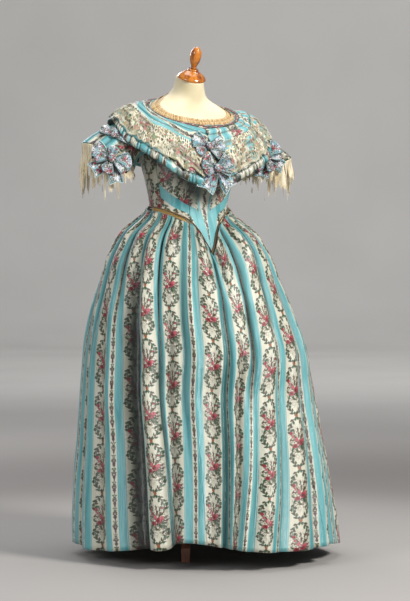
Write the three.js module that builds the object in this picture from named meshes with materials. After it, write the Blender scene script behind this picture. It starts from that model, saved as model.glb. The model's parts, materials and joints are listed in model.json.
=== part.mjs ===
// Ball gown with pointed bodice, wide bertha and organ-pleated skirt, on a limbless dress form.
// Millimetres, +Z up. The gown faces -Y, and the wearer's left is +X.
import * as THREE from 'three';

// ---------- driving dimensions ----------
const wall = 2;                 // cloth thickness
const formClearance = 3.5;      // between the form and the bodice
const closeFit = 1;             // between the form and what is drawn tight round it
const seamGap = 0.25;           // half of the gap along a seam, on each side
const layerGap = 0.7;           // between a trim and the cloth it lies on
const pleatCount = 36;          // organ pleats round the waist
const pleatDepth = 13;
const pleatLift = 1.5;          // pleats start this far outside the bodice
const waistGap = 0.5;           // between the bodice's edge and the pleats below it
const pleatFade = 0.42;         // share of the skirt's length at which the pleats are gone
const skirtWidths = 6;
const sideDrop = 0.05;          // the wearer's left shoulder hangs lower by this slope
const pipingRadius = 1.8;
const laceWall = 1.2;

const TURN = Math.PI * 2;
const deg = Math.PI / 180;

// Smooth curve through one column of a table whose rows are sorted by their key.
function column(rows, key, name) {
  const slope = rows.map((row, i) => {
    const low = rows[Math.max(i - 1, 0)];
    const high = rows[Math.min(i + 1, rows.length - 1)];
    return (high[name] - low[name]) / (high[key] - low[key]);
  });
  return (at) => {
    if (at <= rows[0][key]) return rows[0][name];
    const last = rows.length - 1;
    if (at >= rows[last][key]) return rows[last][name];
    let i = 0;
    while (rows[i + 1][key] < at) i += 1;
    const step = rows[i + 1][key] - rows[i][key];
    const t = (at - rows[i][key]) / step;
    const bend = t * t * (3 - 2 * t);
    const start = t * (1 - t) * (1 - t) * step * slope[i];
    const stop = t * t * (t - 1) * step * slope[i + 1];
    return rows[i][name] * (1 - bend) + rows[i + 1][name] * bend + start + stop;
  };
}

const ease = (t) => {
  const c = Math.min(Math.max(t, 0), 1);
  return c * c * (3 - 2 * c);
};
const mix = (a, b, t) => a + (b - a) * t;

// ---------- the dress form's outline ----------
// side: half width; ahead and behind: reach from the pole; tilt: forward lean of the ring in degrees
const formLevels = [
  { height: 790, side: 146, ahead: 122, behind: 118, tilt: 0 },
  { height: 830, side: 156, ahead: 134, behind: 127, tilt: 0 },
  { height: 884, side: 154, ahead: 141, behind: 123, tilt: 0 },
  { height: 920, side: 146, ahead: 130, behind: 114, tilt: 0 },
  { height: 960, side: 133, ahead: 115, behind: 103, tilt: 0 },
  { height: 1000, side: 118, ahead: 98, behind: 92, tilt: 0 },
  { height: 1024, side: 114, ahead: 93, behind: 88, tilt: 0 },
  { height: 1060, side: 119, ahead: 98, behind: 90, tilt: 0 },
  { height: 1100, side: 130, ahead: 111, behind: 95, tilt: 0 },
  { height: 1140, side: 141, ahead: 122, behind: 101, tilt: 0 },
  { height: 1170, side: 147, ahead: 122, behind: 104, tilt: 0 },
  { height: 1200, side: 151, ahead: 113, behind: 107, tilt: 0 },
  { height: 1230, side: 157, ahead: 98, behind: 108, tilt: 0 },
  { height: 1262, side: 163, ahead: 80, behind: 106, tilt: 0 },
  { height: 1285, side: 157, ahead: 69, behind: 102, tilt: 0 },
  { height: 1303, side: 139, ahead: 61, behind: 97, tilt: 0 },
  { height: 1322, side: 108, ahead: 55, behind: 90, tilt: 2 },
  { height: 1338, side: 78, ahead: 53, behind: 80, tilt: 7 },
  { height: 1352, side: 56, ahead: 54, behind: 62, tilt: 13 },
  { height: 1370, side: 45, ahead: 57, behind: 36, tilt: 19 },
  { height: 1399, side: 40, ahead: 60, behind: 20, tilt: 22 },
];
const form = {
  side: column(formLevels, 'height', 'side'),
  ahead: column(formLevels, 'height', 'ahead'),
  behind: column(formLevels, 'height', 'behind'),
  tilt: column(formLevels, 'height', 'tilt'),
};

// A point of a plan outline: around is 0 at the front and grows towards the wearer's left.
function planPoint(plan, around, height) {
  const c = Math.cos(around * deg);
  const reach = c > 0 ? plan.ahead : plan.behind;
  return new THREE.Vector3((plan.swing || 0) + plan.side * Math.sin(around * deg), -reach * c, height);
}

function formPlan(height, out) {
  return {
    side: form.side(height) + out,
    ahead: form.ahead(height) + out,
    behind: form.behind(height) + out,
  };
}

// The shoulders hang a little lower on the wearer's left; waist and neck stay level.
function settle(p) {
  p.z -= sideDrop * p.x * ease((p.z - 1060) / 160) * (1 - ease((p.z - 1335) / 40));
  return p;
}

function bodyPoint(around, height, out) {
  const plan = formPlan(height, out);
  const p = planPoint(plan, around, height);
  p.z += Math.tan(form.tilt(height) * deg) * (p.y - (plan.behind - plan.ahead) / 2);
  return p;
}

// ---------- solids from grids of points ----------
// outer(i, j) and inner(i, j) give the two faces of a wall; around closes it into a tube.
function wallSolid(columns, rows, outer, inner, around) {
  const across = around ? columns : columns + 1;
  const points = [];
  for (const face of [outer, inner]) {
    for (let j = 0; j <= rows; j += 1) {
      for (let i = 0; i < across; i += 1) {
        const p = settle(face(i / columns, j / rows, i, j));
        points.push(p.x, p.y, p.z);
      }
    }
  }
  const size = across * (rows + 1);
  const at = (face, i, j) => face * size + j * across + (i % across);
  const index = [];
  const quad = (a, b, c, d) => index.push(a, b, c, a, c, d);
  for (let j = 0; j < rows; j += 1) {
    for (let i = 0; i < columns; i += 1) {
      quad(at(0, i, j), at(0, i, j + 1), at(0, i + 1, j + 1), at(0, i + 1, j));
      quad(at(1, i, j), at(1, i + 1, j), at(1, i + 1, j + 1), at(1, i, j + 1));
    }
    if (!around) {
      quad(at(0, 0, j), at(1, 0, j), at(1, 0, j + 1), at(0, 0, j + 1));
      quad(at(0, columns, j), at(0, columns, j + 1), at(1, columns, j + 1), at(1, columns, j));
    }
  }
  for (let i = 0; i < columns; i += 1) {
    quad(at(0, i, 0), at(0, i + 1, 0), at(1, i + 1, 0), at(1, i, 0));
    quad(at(0, i, rows), at(1, i, rows), at(1, i + 1, rows), at(0, i + 1, rows));
  }
  return closedGeometry(points, index);
}

// Rings joined into one filled body with flat ends.
function loftSolid(rings) {
  const across = rings[0].length;
  const points = [];
  for (const ring of rings) for (const p of ring) points.push(p.x, p.y, p.z);
  const index = [];
  for (let j = 0; j < rings.length - 1; j += 1) {
    for (let i = 0; i < across; i += 1) {
      const a = j * across + i;
      const b = j * across + ((i + 1) % across);
      index.push(a, b, b + across, a, b + across, a + across);
    }
  }
  const top = (rings.length - 1) * across;
  for (let i = 1; i < across - 1; i += 1) {
    index.push(0, i + 1, i);
    index.push(top, top + i, top + i + 1);
  }
  return closedGeometry(points, index);
}

function closedGeometry(points, index) {
  const geometry = new THREE.BufferGeometry();
  geometry.setAttribute('position', new THREE.Float32BufferAttribute(points, 3));
  let volume = 0;
  for (let k = 0; k < index.length; k += 3) {
    const [a, b, c] = [index[k], index[k + 1], index[k + 2]].map(
      (n) => new THREE.Vector3(points[3 * n], points[3 * n + 1], points[3 * n + 2]));
    volume += a.dot(b.cross(c));
  }
  if (volume < 0) {
    for (let k = 0; k < index.length; k += 3) {
      [index[k + 1], index[k + 2]] = [index[k + 2], index[k + 1]];
    }
  }
  geometry.setIndex(index);
  geometry.computeVertexNormals();
  return geometry;
}

const finishes = {
  silk: { color: 0xa9d3cf, roughness: 0.45, metalness: 0 },
  piping: { color: 0x6b5236, roughness: 0.6, metalness: 0 },
  tape: { color: 0xc99a52, roughness: 0.8, metalness: 0 },
  lace: { color: 0xe0cfa6, roughness: 0.9, metalness: 0 },
  form: { color: 0xf1e7cb, roughness: 0.7, metalness: 0 },
  wood: { color: 0xb9701f, roughness: 0.3, metalness: 0 },
  stand: { color: 0x8f5a40, roughness: 0.45, metalness: 0 },
};

const group = new THREE.Group();

function add(name, finish, geometry) {
  const mesh = new THREE.Mesh(geometry, new THREE.MeshStandardMaterial(finishes[finish]));
  mesh.name = name;
  group.add(mesh);
  return mesh;
}

// ---------- dress form and stand ----------
const formSides = 32;
const tallStep = 20;            // two levels farther apart than this get a ring between them
const neckTop = formLevels[formLevels.length - 1];

function formRing(height) {
  const ring = [];
  for (let i = 0; i < formSides; i += 1) {
    ring.push(settle(bodyPoint((i * 360) / formSides, height, 0)));
  }
  return ring;
}

const formHeights = [];
formLevels.forEach((row, k) => {
  if (k > 0 && row.height - formLevels[k - 1].height > tallStep) {
    formHeights.push((row.height + formLevels[k - 1].height) / 2);
  }
  formHeights.push(row.height);
});
add('form_body', 'form', loftSolid(formHeights.map(formRing)));

const capProfile = [
  { radius: 0, height: 0 }, { radius: 41.5, height: 0 }, { radius: 42.5, height: 4 },
  { radius: 40, height: 9 }, { radius: 31, height: 17 }, { radius: 21, height: 23 },
  { radius: 15, height: 26 }, { radius: 16.5, height: 29 }, { radius: 14, height: 32 },
  { radius: 0, height: 32 },
];
const finialProfile = [
  { radius: 0, height: 0 }, { radius: 9, height: 0 }, { radius: 8, height: 7 },
  { radius: 11.5, height: 14 }, { radius: 15.2, height: 24 }, { radius: 16.8, height: 38 },
  { radius: 15.6, height: 50 }, { radius: 11.5, height: 59 }, { radius: 6, height: 64 },
  { radius: 0, height: 66 },
];
const lathe = (rows, sides) =>
  new THREE.LatheGeometry(rows.map((row) => new THREE.Vector2(row.radius, row.height)), sides);

const capSeat = new THREE.Group();
capSeat.position.set(0, (neckTop.behind - neckTop.ahead) / 2, neckTop.height);
capSeat.rotation.x = Math.PI / 2 + neckTop.tilt * deg;
group.add(capSeat);
const capGap = 0.4;
const capTop = capProfile[capProfile.length - 1].height;
const cap = add('neck_cap', 'wood', lathe(capProfile, 24));
cap.position.y = capGap;
const finial = add('finial', 'wood', lathe(finialProfile, 16));
finial.position.y = capGap + capTop + capGap;
capSeat.add(cap, finial);

const hubProfile = [
  { radius: 0, height: 62 }, { radius: 24, height: 62 }, { radius: 36, height: 70 },
  { radius: 36, height: 132 }, { radius: 27, height: 142 }, { radius: 22, height: 165 },
  { radius: 0, height: 165 },
];
const hub = add('hub', 'stand', lathe(hubProfile, 24));
hub.rotation.x = Math.PI / 2;

const poleRadius = 16;
const poleBottom = hubProfile[hubProfile.length - 1].height + capGap;
const poleTop = formLevels[0].height - capGap;
const pole = add('pole', 'stand', new THREE.CylinderGeometry(
  poleRadius, poleRadius, poleTop - poleBottom, 24));
pole.rotation.x = Math.PI / 2;
pole.position.z = (poleTop + poleBottom) / 2;

const leg = { inner: 36.5, reach: 200, toe: 36, toeHeight: 40, top: 128, under: 74, width: 24 };
function legGeometry() {
  const side = new THREE.Shape();
  side.moveTo(leg.inner, leg.top);
  side.lineTo(leg.inner, leg.under);
  side.quadraticCurveTo(leg.reach * 0.62, leg.under * 0.9, leg.reach - leg.toe, 0);
  side.lineTo(leg.reach, 0);
  side.lineTo(leg.reach, leg.toeHeight);
  side.quadraticCurveTo(leg.reach * 0.66, leg.top * 0.86, leg.inner, leg.top);
  const geometry = new THREE.ExtrudeGeometry(side, {
    depth: leg.width, bevelEnabled: false, curveSegments: 8,
  });
  geometry.translate(0, 0, -leg.width / 2);
  geometry.rotateX(Math.PI / 2);
  return geometry;
}
const legs = [
  { name: 'leg_front', around: -30 },
  { name: 'leg_left', around: 90 },
  { name: 'leg_right', around: 210 },
];
for (const row of legs) {
  const mesh = add(row.name, 'stand', legGeometry());
  mesh.rotation.z = (row.around - 90) * deg;
}

// ---------- the pointed waist seam ----------
const waistSeam = column([
  { around: 0, height: 884 }, { around: 6, height: 917 }, { around: 12, height: 950 },
  { around: 23, height: 982 }, { around: 40, height: 1000 }, { around: 60, height: 1013 },
  { around: 90, height: 1022 }, { around: 135, height: 1019 }, { around: 180, height: 1012 },
], 'around', 'height');

// Wraps an angle into -180..180.
const wrap = (around) => ((((around + 180) % 360) + 360) % 360) - 180;

// Height of a line that runs beside the seam at a true distance below it (negative is above).
function seamLine(around, below) {
  const a = Math.abs(wrap(around));
  const rise = waistSeam(a + 1.5) - waistSeam(Math.max(a - 1.5, 0));
  const run = form.side(1000) * (Math.min(a, 1.5) + 1.5) * deg;
  return waistSeam(a) - below * Math.hypot(1, rise / run);
}

// ---------- bodice ----------
const neckline = column([
  { around: 0, height: 1262 }, { around: 30, height: 1272 }, { around: 60, height: 1298 },
  { around: 90, height: 1320 }, { around: 120, height: 1332 }, { around: 150, height: 1336 },
  { around: 180, height: 1334 },
], 'around', 'height');
const neckHeight = (around) => neckline(Math.abs(wrap(around)));
const armhole = { low: 1172, high: 1276, from: 66, to: 114 };

// Shares of a panel's height at which its rows lie, closer over the shoulder.
const bodiceDowns = [0, 0.05, 0.12, 0.21, 0.33, 0.47, 0.63, 0.81, 1];
const waistRadius = form.ahead(1024);
const bodicePanels = [
  { name: 'bodice_centre_front', angles: [-22, -16, -10, -4, 0, 4, 10, 16, 22] },
  { name: 'bodice_side_front_left', angles: [22, 33, 44, 55, 66] },
  { name: 'bodice_side_front_right', angles: [-66, -55, -44, -33, -22] },
  { name: 'bodice_side_left', angles: [66, 78, 90, 102, 114], top: armhole.low },
  { name: 'bodice_side_right', angles: [-114, -102, -90, -78, -66], top: armhole.low },
  { name: 'bodice_back_left', angles: [114, 125, 136, 147, 158, 169, 180] },
  { name: 'bodice_back_right', angles: [-180, -169, -158, -147, -136, -125, -114] },
];

// Angle of column i with the panel's two edges drawn in by the seam gap.
function seamedAngle(angles, i) {
  const inset = seamGap / waistRadius / deg;
  if (i === 0) return angles[0] + inset;
  if (i === angles.length - 1) return angles[i] - inset;
  return angles[i];
}

for (const panel of bodicePanels) {
  const face = (out) => (u, v, i, j) => {
    const around = seamedAngle(panel.angles, i);
    const height = mix(panel.top || neckHeight(around), seamLine(around, 0), bodiceDowns[j]);
    return bodyPoint(around, height, out);
  };
  add(panel.name, 'silk', wallSolid(panel.angles.length - 1, bodiceDowns.length - 1,
    face(formClearance + wall), face(formClearance), false));
}

const strap = { angles: [66, 74, 82, 90, 98, 106, 114], rows: 3 };
for (const [name, sign] of [['left', 1], ['right', -1]]) {
  const face = (out) => (u, v, i) => {
    const around = sign * seamedAngle(strap.angles, i);
    return bodyPoint(around, mix(neckHeight(around), armhole.high, v), out);
  };
  add(`bodice_shoulder_${name}`, 'silk', wallSolid(strap.angles.length - 1, strap.rows,
    face(formClearance + wall), face(formClearance), false));
}

// Round cord laid on the bodice's edge, all the way round.
const pipingAngles = [];
for (let a = -180; a < 180; a += 10) if (Math.abs(a) > 30) pipingAngles.push(a);
for (const a of [-30, -22, -16, -10, -4, 0, 4, 10, 16, 22, 30]) pipingAngles.push(a);
pipingAngles.sort((a, b) => a - b);
const pipingSides = 4;

function pipingPoint(around) {
  return bodyPoint(around, seamLine(around, -pipingRadius - 0.6),
    formClearance + wall + pipingRadius + 2 * layerGap);
}

function ringTube(angles, centre, radius, sides) {
  const centres = angles.map(centre);
  const count = centres.length;
  const points = [];
  centres.forEach((p, k) => {
    const along = centres[(k + 1) % count].clone().sub(centres[(k + count - 1) % count]).normalize();
    const out = new THREE.Vector3(p.x, p.y, 0).normalize();
    out.addScaledVector(along, -out.dot(along)).normalize();
    const up = new THREE.Vector3().crossVectors(along, out);
    for (let s = 0; s < sides; s += 1) {
      const q = p.clone();
      q.addScaledVector(out, radius * Math.cos((s / sides) * TURN));
      q.addScaledVector(up, radius * Math.sin((s / sides) * TURN));
      points.push(...settle(q).toArray());
    }
  });
  const index = [];
  for (let k = 0; k < count; k += 1) {
    for (let s = 0; s < sides; s += 1) {
      const a = k * sides + s;
      const b = k * sides + ((s + 1) % sides);
      const c = ((k + 1) % count) * sides + ((s + 1) % sides);
      const d = ((k + 1) % count) * sides + s;
      index.push(a, b, c, a, c, d);
    }
  }
  return closedGeometry(points, index);
}

add('waist_piping', 'piping', ringTube(pipingAngles, pipingPoint, pipingRadius, pipingSides));

// Tape that shows below the piping on the wearer's right.
const tape = { from: -88, to: -28, top: 1.4, depth: 8, columns: 10 };
const tapeFace = (out) => (u, v) => {
  const around = mix(tape.from, tape.to, u);
  return bodyPoint(around, seamLine(around, mix(tape.top, tape.depth, v)), out);
};
add('waist_tape', 'tape', wallSolid(tape.columns, 1, tapeFace(closeFit + wall),
  tapeFace(closeFit), false));

// ---------- skirt ----------
// Plan of the skirt by height; swing is its shift towards the wearer's left.
const skirtLevels = [
  { height: 32, side: 377, ahead: 450, behind: 369, swing: 48 },
  { height: 118, side: 372, ahead: 437, behind: 368, swing: 43 },
  { height: 230, side: 362, ahead: 416, behind: 353, swing: 38 },
  { height: 345, side: 350, ahead: 387, behind: 327, swing: 33 },
  { height: 484, side: 336, ahead: 347, behind: 310, swing: 26 },
  { height: 602, side: 319, ahead: 332, behind: 294, swing: 21 },
  { height: 705, side: 292, ahead: 284, behind: 267, swing: 13 },
  { height: 799, side: 258, ahead: 240, behind: 237, swing: 6 },
  { height: 879, side: 227, ahead: 205, behind: 206, swing: 3 },
  { height: 947, side: 183, ahead: 165, behind: 168, swing: 0 },
  { height: 985, side: 150, ahead: 136, behind: 136, swing: 0 },
  { height: 1024, side: 124, ahead: 103, behind: 98, swing: 0 },
];
const skirt = {
  side: column(skirtLevels, 'height', 'side'),
  ahead: column(skirtLevels, 'height', 'ahead'),
  behind: column(skirtLevels, 'height', 'behind'),
  swing: column(skirtLevels, 'height', 'swing'),
};

const hemHeight = column([
  { around: -180, height: 36 }, { around: -110, height: 34 }, { around: -88, height: 33 },
  { around: -70, height: 46 }, { around: -53, height: 63 }, { around: -43, height: 78 },
  { around: -34, height: 80 }, { around: -23, height: 68 }, { around: -10, height: 56 },
  { around: 20, height: 50 }, { around: 35, height: 52 }, { around: 57, height: 38 },
  { around: 110, height: 34 }, { around: 180, height: 36 },
], 'around', 'height');

// The largest folds: where each starts and ends round the skirt, in degrees, its half width, how far
// it stands out (or in, negative), and the shares of the length between which it shows.
const folds = [
  { top: -70, hem: -57, spread: 5, depth: -30, begin: 0.04, end: 1.2 },
  { top: -62, hem: -46, spread: 7, depth: 13, begin: 0.1, end: 1.2 },
  { top: -82, hem: -73, spread: 6, depth: 12, begin: 0.1, end: 1.2 },
  { top: 7, hem: -4, spread: 5, depth: -16, begin: 0.02, end: 0.5 },
  { top: 22, hem: 17, spread: 5, depth: -15, begin: 0.04, end: 0.5 },
  { top: -22, hem: -18, spread: 7, depth: 10, begin: 0.15, end: 1.2 },
  { top: -4, hem: -3, spread: 5, depth: 12, begin: 0.45, end: 1.2 },
  { top: -30, hem: -32, spread: 6, depth: -14, begin: 0.3, end: 1.2 },
  { top: 34, hem: 30, spread: 7, depth: 12, begin: 0.1, end: 1.2 },
  { top: 46, hem: 43, spread: 6, depth: -14, begin: 0.2, end: 1.2 },
  { top: 58, hem: 60, spread: 8, depth: 12, begin: 0.1, end: 1.2 },
  { top: 82, hem: 80, spread: 6, depth: -16, begin: 0.2, end: 1.2 },
  { top: 98, hem: 100, spread: 8, depth: 14, begin: 0.1, end: 1.2 },
  { top: 116, hem: 118, spread: 7, depth: -18, begin: 0.1, end: 1.2 },
  { top: 134, hem: 136, spread: 8, depth: 14, begin: 0.1, end: 1.2 },
  { top: 152, hem: 154, spread: 7, depth: -20, begin: 0.1, end: 1.2 },
  { top: 170, hem: 172, spread: 8, depth: 16, begin: 0.05, end: 1.2 },
  { top: -172, hem: -170, spread: 6, depth: -20, begin: 0.1, end: 1.2 },
  { top: -154, hem: -152, spread: 8, depth: 15, begin: 0.1, end: 1.2 },
  { top: -136, hem: -134, spread: 7, depth: -18, begin: 0.1, end: 1.2 },
  { top: -118, hem: -116, spread: 8, depth: 13, begin: 0.1, end: 1.2 },
  { top: -100, hem: -96, spread: 7, depth: -14, begin: 0.15, end: 1.2 },
];

function foldHeight(around, down) {
  let sum = 0;
  for (const fold of folds) {
    const centre = mix(fold.top, fold.hem, down);
    const away = wrap(around - centre) / fold.spread;
    const grow = ease((down - fold.begin) / 0.3) * (1 - ease((down - fold.end + 0.25) / 0.25));
    sum += fold.depth * grow * Math.exp(-away * away);
  }
  return sum;
}

function pleatHeight(around, down) {
  const wave = 0.5 + 0.5 * Math.cos(around * deg * pleatCount);
  const fade = 1 - ease((down - 0.03) / pleatFade);
  return pleatDepth * fade * wave;
}

// The waist tape pushes the pleats down on the wearer's right.
function skirtTop(around) {
  const a = wrap(around);
  const shown = ease((a - tape.from + 10) / 8) * (1 - ease((a - tape.to - 2) / 8));
  return seamLine(around, mix(waistGap, tape.depth + waistGap, shown));
}

function skirtRadii(around, height, topHeight) {
  const slow = Math.exp(-((wrap(around) / 18) ** 2));
  const t = Math.min((topHeight - height) / mix(75, 200, slow), 1);
  const out = 1 - (1 - t) * (1 - t);
  const start = formPlan(topHeight, formClearance + wall + pleatLift);
  return {
    side: mix(start.side, skirt.side(height), out),
    ahead: mix(start.ahead, skirt.ahead(height), out),
    behind: mix(start.behind, skirt.behind(height), out),
    swing: skirt.swing(height) * out,
  };
}

function skirtPoint(around, down, inward) {
  const top = skirtTop(around);
  const height = mix(top, hemHeight(wrap(around)), down);
  const radii = skirtRadii(around, height, top);
  const out = pleatHeight(around, down) + foldHeight(around, down) - inward;
  radii.side += out;
  radii.ahead += out;
  radii.behind += out;
  return planPoint(radii, around, height);
}

// Inward step that leaves the wall its thickness where the cloth stands steeply.
function skirtInset(around, down) {
  const here = skirtPoint(around, down, 0);
  const flat = (p) => Math.hypot(p.x, p.y);
  const beside = skirtPoint(around + 1, down, 0);
  const before = skirtPoint(around - 1, down, 0);
  const near = Math.max(down - 0.02, 0);
  const far = Math.min(down + 0.02, 1);
  const above = skirtPoint(around, near, 0);
  const below = skirtPoint(around, far, 0);
  const turn = (flat(beside) - flat(before)) / (2 * deg * flat(here));
  const fall = (flat(below) - flat(above)) / (above.z - below.z);
  return wall * Math.min(Math.hypot(1, turn, fall), 2.4);
}

const skirtDowns = [0, 0.04, 0.1, 0.2, 0.36, 0.56, 0.8, 1];
const pleatColumns = 3;         // points to a pleat
const skirtColumns = (pleatCount * pleatColumns) / skirtWidths;
const skirtNames = ['front', 'side_front_left', 'side_back_left', 'back', 'side_back_right',
  'side_front_right'];

skirtNames.forEach((name, k) => {
  const span = 360 / skirtWidths;
  const from = k * span - span / 2;
  const face = (inside) => (u, v, i, j) => {
    const down = skirtDowns[j];
    const around = from + u * span;
    const here = skirtPoint(around, down, 0);
    const inset = seamGap / Math.hypot(here.x, here.y) / deg;
    const drawn = around + (i === 0 ? inset : 0) - (i === skirtColumns ? inset : 0);
    return skirtPoint(drawn, down, inside ? skirtInset(drawn, down) : 0);
  };
  add(`skirt_${name}`, 'silk',
    wallSolid(skirtColumns, skirtDowns.length - 1, face(false), face(true), false));
});

// ---------- bertha ----------
const berthaPlan = { side: 250, ahead: 154, behind: 142, square: 2.6 };
const berthaEdge = column([
  { around: 0, height: 1080 }, { around: 12, height: 1093 }, { around: 24, height: 1120 },
  { around: 37, height: 1150 }, { around: 50, height: 1172 }, { around: 69, height: 1200 },
  { around: 80, height: 1238 }, { around: 90, height: 1262 }, { around: 100, height: 1244 },
  { around: 111, height: 1212 }, { around: 130, height: 1182 }, { around: 155, height: 1150 },
  { around: 180, height: 1132 },
], 'around', 'height');
const berthaCrown = column([
  { around: 0, height: 1205 }, { around: 45, height: 1268 }, { around: 90, height: 1322 },
  { around: 135, height: 1310 }, { around: 180, height: 1300 },
], 'around', 'height');
const berthaFolds = { count: 9, depth: 4, from: 24, over: 12 };
const crownShare = { side: 0.84, front: 0.96 }; // how far out the crown of the curve lies

// down is 0 at the neckline and 1 at the lower edge; out lifts a trim off the cloth.
function berthaPoint(around, down, out) {
  const a = Math.abs(wrap(around));
  const s = Math.sin(around * deg);
  const c = Math.cos(around * deg);
  const power = 2 / berthaPlan.square;
  const reach = c > 0 ? berthaPlan.ahead : berthaPlan.behind;
  const edge = new THREE.Vector3(berthaPlan.side * Math.sign(s) * Math.abs(s) ** power,
    -reach * Math.sign(c) * Math.abs(c) ** power, berthaEdge(a));
  const neck = bodyPoint(around, neckHeight(around) - 1, formClearance + wall + 2 * layerGap);
  const front = ease((c - 0.3) / 0.6);
  const crown = new THREE.Vector3(edge.x * crownShare.side,
    edge.y * mix(crownShare.side, crownShare.front, front), berthaCrown(a));
  const p = neck.multiplyScalar((1 - down) ** 2);
  p.addScaledVector(crown, 2 * down * (1 - down));
  p.addScaledVector(edge, down * down);
  const fold = Math.cos(a * deg * berthaFolds.count) * berthaFolds.depth * ease(down * 2)
    * ease((a - berthaFolds.from) / berthaFolds.over);
  const outward = berthaOutward(a, down);
  const side = new THREE.Vector3(s, -c, 0).normalize();
  p.addScaledVector(side, (fold + out) * outward.along);
  p.z += (fold + out) * outward.up;
  return p;
}

// The bertha lies flatter over the shoulder and near the neck than at the bust.
function berthaOutward(a, down) {
  const lie = mix(0.75, 0.2, down) * ease((a - 10) / 70);
  const up = Math.max(lie, mix(0.45, 0.05, down));
  return { up, along: Math.sqrt(1 - up * up) };
}

const berthaPanels = [
  { name: 'bertha_front_left', from: 0, to: 90 },
  { name: 'bertha_back_left', from: 90, to: 180 },
  { name: 'bertha_back_right', from: -180, to: -90 },
  { name: 'bertha_front_right', from: -90, to: 0 },
];
const berthaColumns = 8;
const berthaRows = 6;
const berthaInset = seamGap / 60 / deg;
for (const panel of berthaPanels) {
  const face = (out) => (u, v) => {
    const around = mix(panel.from + berthaInset, panel.to - berthaInset, u);
    return berthaPoint(around, v, out);
  };
  add(panel.name, 'silk', wallSolid(berthaColumns, berthaRows, face(wall), face(0), false));
}

// Ruched band on the lower edge, and the lace that falls below it.
const band = { top: 0.86, thick: 5, columns: 16, rows: 2 };
for (const [name, from, to] of [['left', 0, 180], ['right', -180, 0]]) {
  const face = (inside) => (u, v) => {
    const around = mix(from + berthaInset, to - berthaInset, u);
    const swell = inside ? 0 : 1.2 + band.thick * Math.sin(v * Math.PI);
    return berthaPoint(around, mix(band.top, 0.99, v), wall + 2 * layerGap + swell);
  };
  add(`bertha_band_${name}`, 'silk', wallSolid(band.columns, band.rows, face(false), face(true), false));
}

const laceFall = { top: 0.6, stop: 0.83, lift: 3, columns: 16, rows: 2 };
for (const [name, from, to] of [['left', 0, 180], ['right', -180, 0]]) {
  const face = (thick) => (u, v) => {
    const around = mix(from + berthaInset, to - berthaInset, u);
    return berthaPoint(around, mix(laceFall.top, laceFall.stop, v),
      wall + layerGap + laceFall.lift * v + thick);
  };
  add(`bertha_lace_${name}`, 'lace', wallSolid(laceFall.columns, laceFall.rows,
    face(laceWall), face(0), false));
}

// ---------- neck trim ----------
const trimColumns = 32;
const ruche = { top: 0.02, bottom: 0.1, thick: 4 };
const rucheFace = (inside) => (u, v) => {
  const lift = wall + layerGap + (inside ? 0 : ruche.thick);
  return berthaPoint(u * 360, mix(ruche.top, ruche.bottom, v), lift);
};
add('neck_ruche', 'silk', wallSolid(trimColumns, 1, rucheFace(false), rucheFace(true), true));

const neckLace = { below: 0.6, above: 15, out: 1.7 };
const neckLaceFace = (thick) => (u, v) => {
  const around = u * 360;
  const height = neckHeight(around) + mix(neckLace.above, neckLace.below, v);
  return bodyPoint(around, height, neckLace.out + thick);
};
add('neck_lace', 'lace', wallSolid(trimColumns, 1, neckLaceFace(laceWall), neckLaceFace(0), true));

// ---------- sleeves ----------
// tilt turns the ring from upright (0) to level (90); half: in its own plane; depth: along Y.
const sleeveRings = [
  { at: 0, reach: 165, height: 1222, tilt: 8, half: 50, depth: 50 },
  { at: 1, reach: 200, height: 1206, tilt: 30, half: 52, depth: 54 },
  { at: 2, reach: 232, height: 1186, tilt: 52, half: 66, depth: 58 },
  { at: 3, reach: 262, height: 1160, tilt: 68, half: 82, depth: 64 },
];
const sleeveValue = {};
for (const name of ['reach', 'height', 'tilt', 'half', 'depth']) {
  sleeveValue[name] = column(sleeveRings, 'at', name);
}
const sleeveSides = 20;
const sleeveRows = 4;

// round: 0 at the top or outside of the ring, growing to the front; sign: side of the body.
function sleevePoint(sign, round, along, out) {
  const c = Math.cos(round * TURN);
  const s = Math.sin(round * TURN);
  const at = along * 3;
  const tilt = sleeveValue.tilt(at) * deg;
  const half = sleeveValue.half(at) + out;
  const depth = sleeveValue.depth(at) + out;
  const first = sleeveRings[0];
  const y = -depth * s;
  const z = sleeveValue.height(at) + half * c * Math.cos(tilt);
  const x = sleeveValue.reach(at) + half * c * Math.sin(tilt);
  const hole = new THREE.Vector3(0, -(first.depth + out) * s, first.height + (first.half + out) * c);
  const body = formPlan(hole.z, formClearance + wall + layerGap);
  const share = hole.y < 0 ? hole.y / body.ahead : hole.y / body.behind;
  hole.x = body.side * Math.sqrt(Math.max(1 - share * share, 0));
  const blend = ease(at);
  const p = new THREE.Vector3(mix(hole.x, x, blend), mix(hole.y, y, blend), mix(hole.z, z, blend));
  p.x *= sign;
  return p;
}

for (const [name, sign] of [['left', 1], ['right', -1]]) {
  const face = (out) => (u, v) => sleevePoint(sign, u, v, out);
  add(`sleeve_${name}`, 'silk', wallSolid(sleeveSides, sleeveRows, face(wall), face(0), true));
}

// Lace falls: deepest on the outside, short beside the body.
const fall = { outer: 1030, inner: 1096, flare: 4, rows: 3, wave: 4, waves: 5 };
function fallPoint(sign, round, down, out) {
  const p = sleevePoint(sign, round, 1, out);
  const away = 0.5 + 0.5 * Math.cos(round * TURN);
  const bottom = mix(fall.inner, fall.outer, ease(away * 1.5));
  const ripple = fall.wave * Math.cos(round * TURN * fall.waves) * ease(down * 2);
  const middle = new THREE.Vector3(sign * sleeveRings[3].reach, 0, p.z);
  const outward = p.clone().sub(middle).setZ(0).normalize();
  p.addScaledVector(outward, fall.flare * down + ripple - 3 * ease(down * 4));
  p.z = mix(p.z - 0.8, bottom, down);
  return p;
}
const fallSides = 20;
for (const [name, sign] of [['left', 1], ['right', -1]]) {
  const face = (out) => (u, v) => fallPoint(sign, u, v, out);
  add(`sleeve_lace_${name}`, 'lace', wallSolid(fallSides, fall.rows, face(wall), face(wall - laceWall), true));
}

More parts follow.
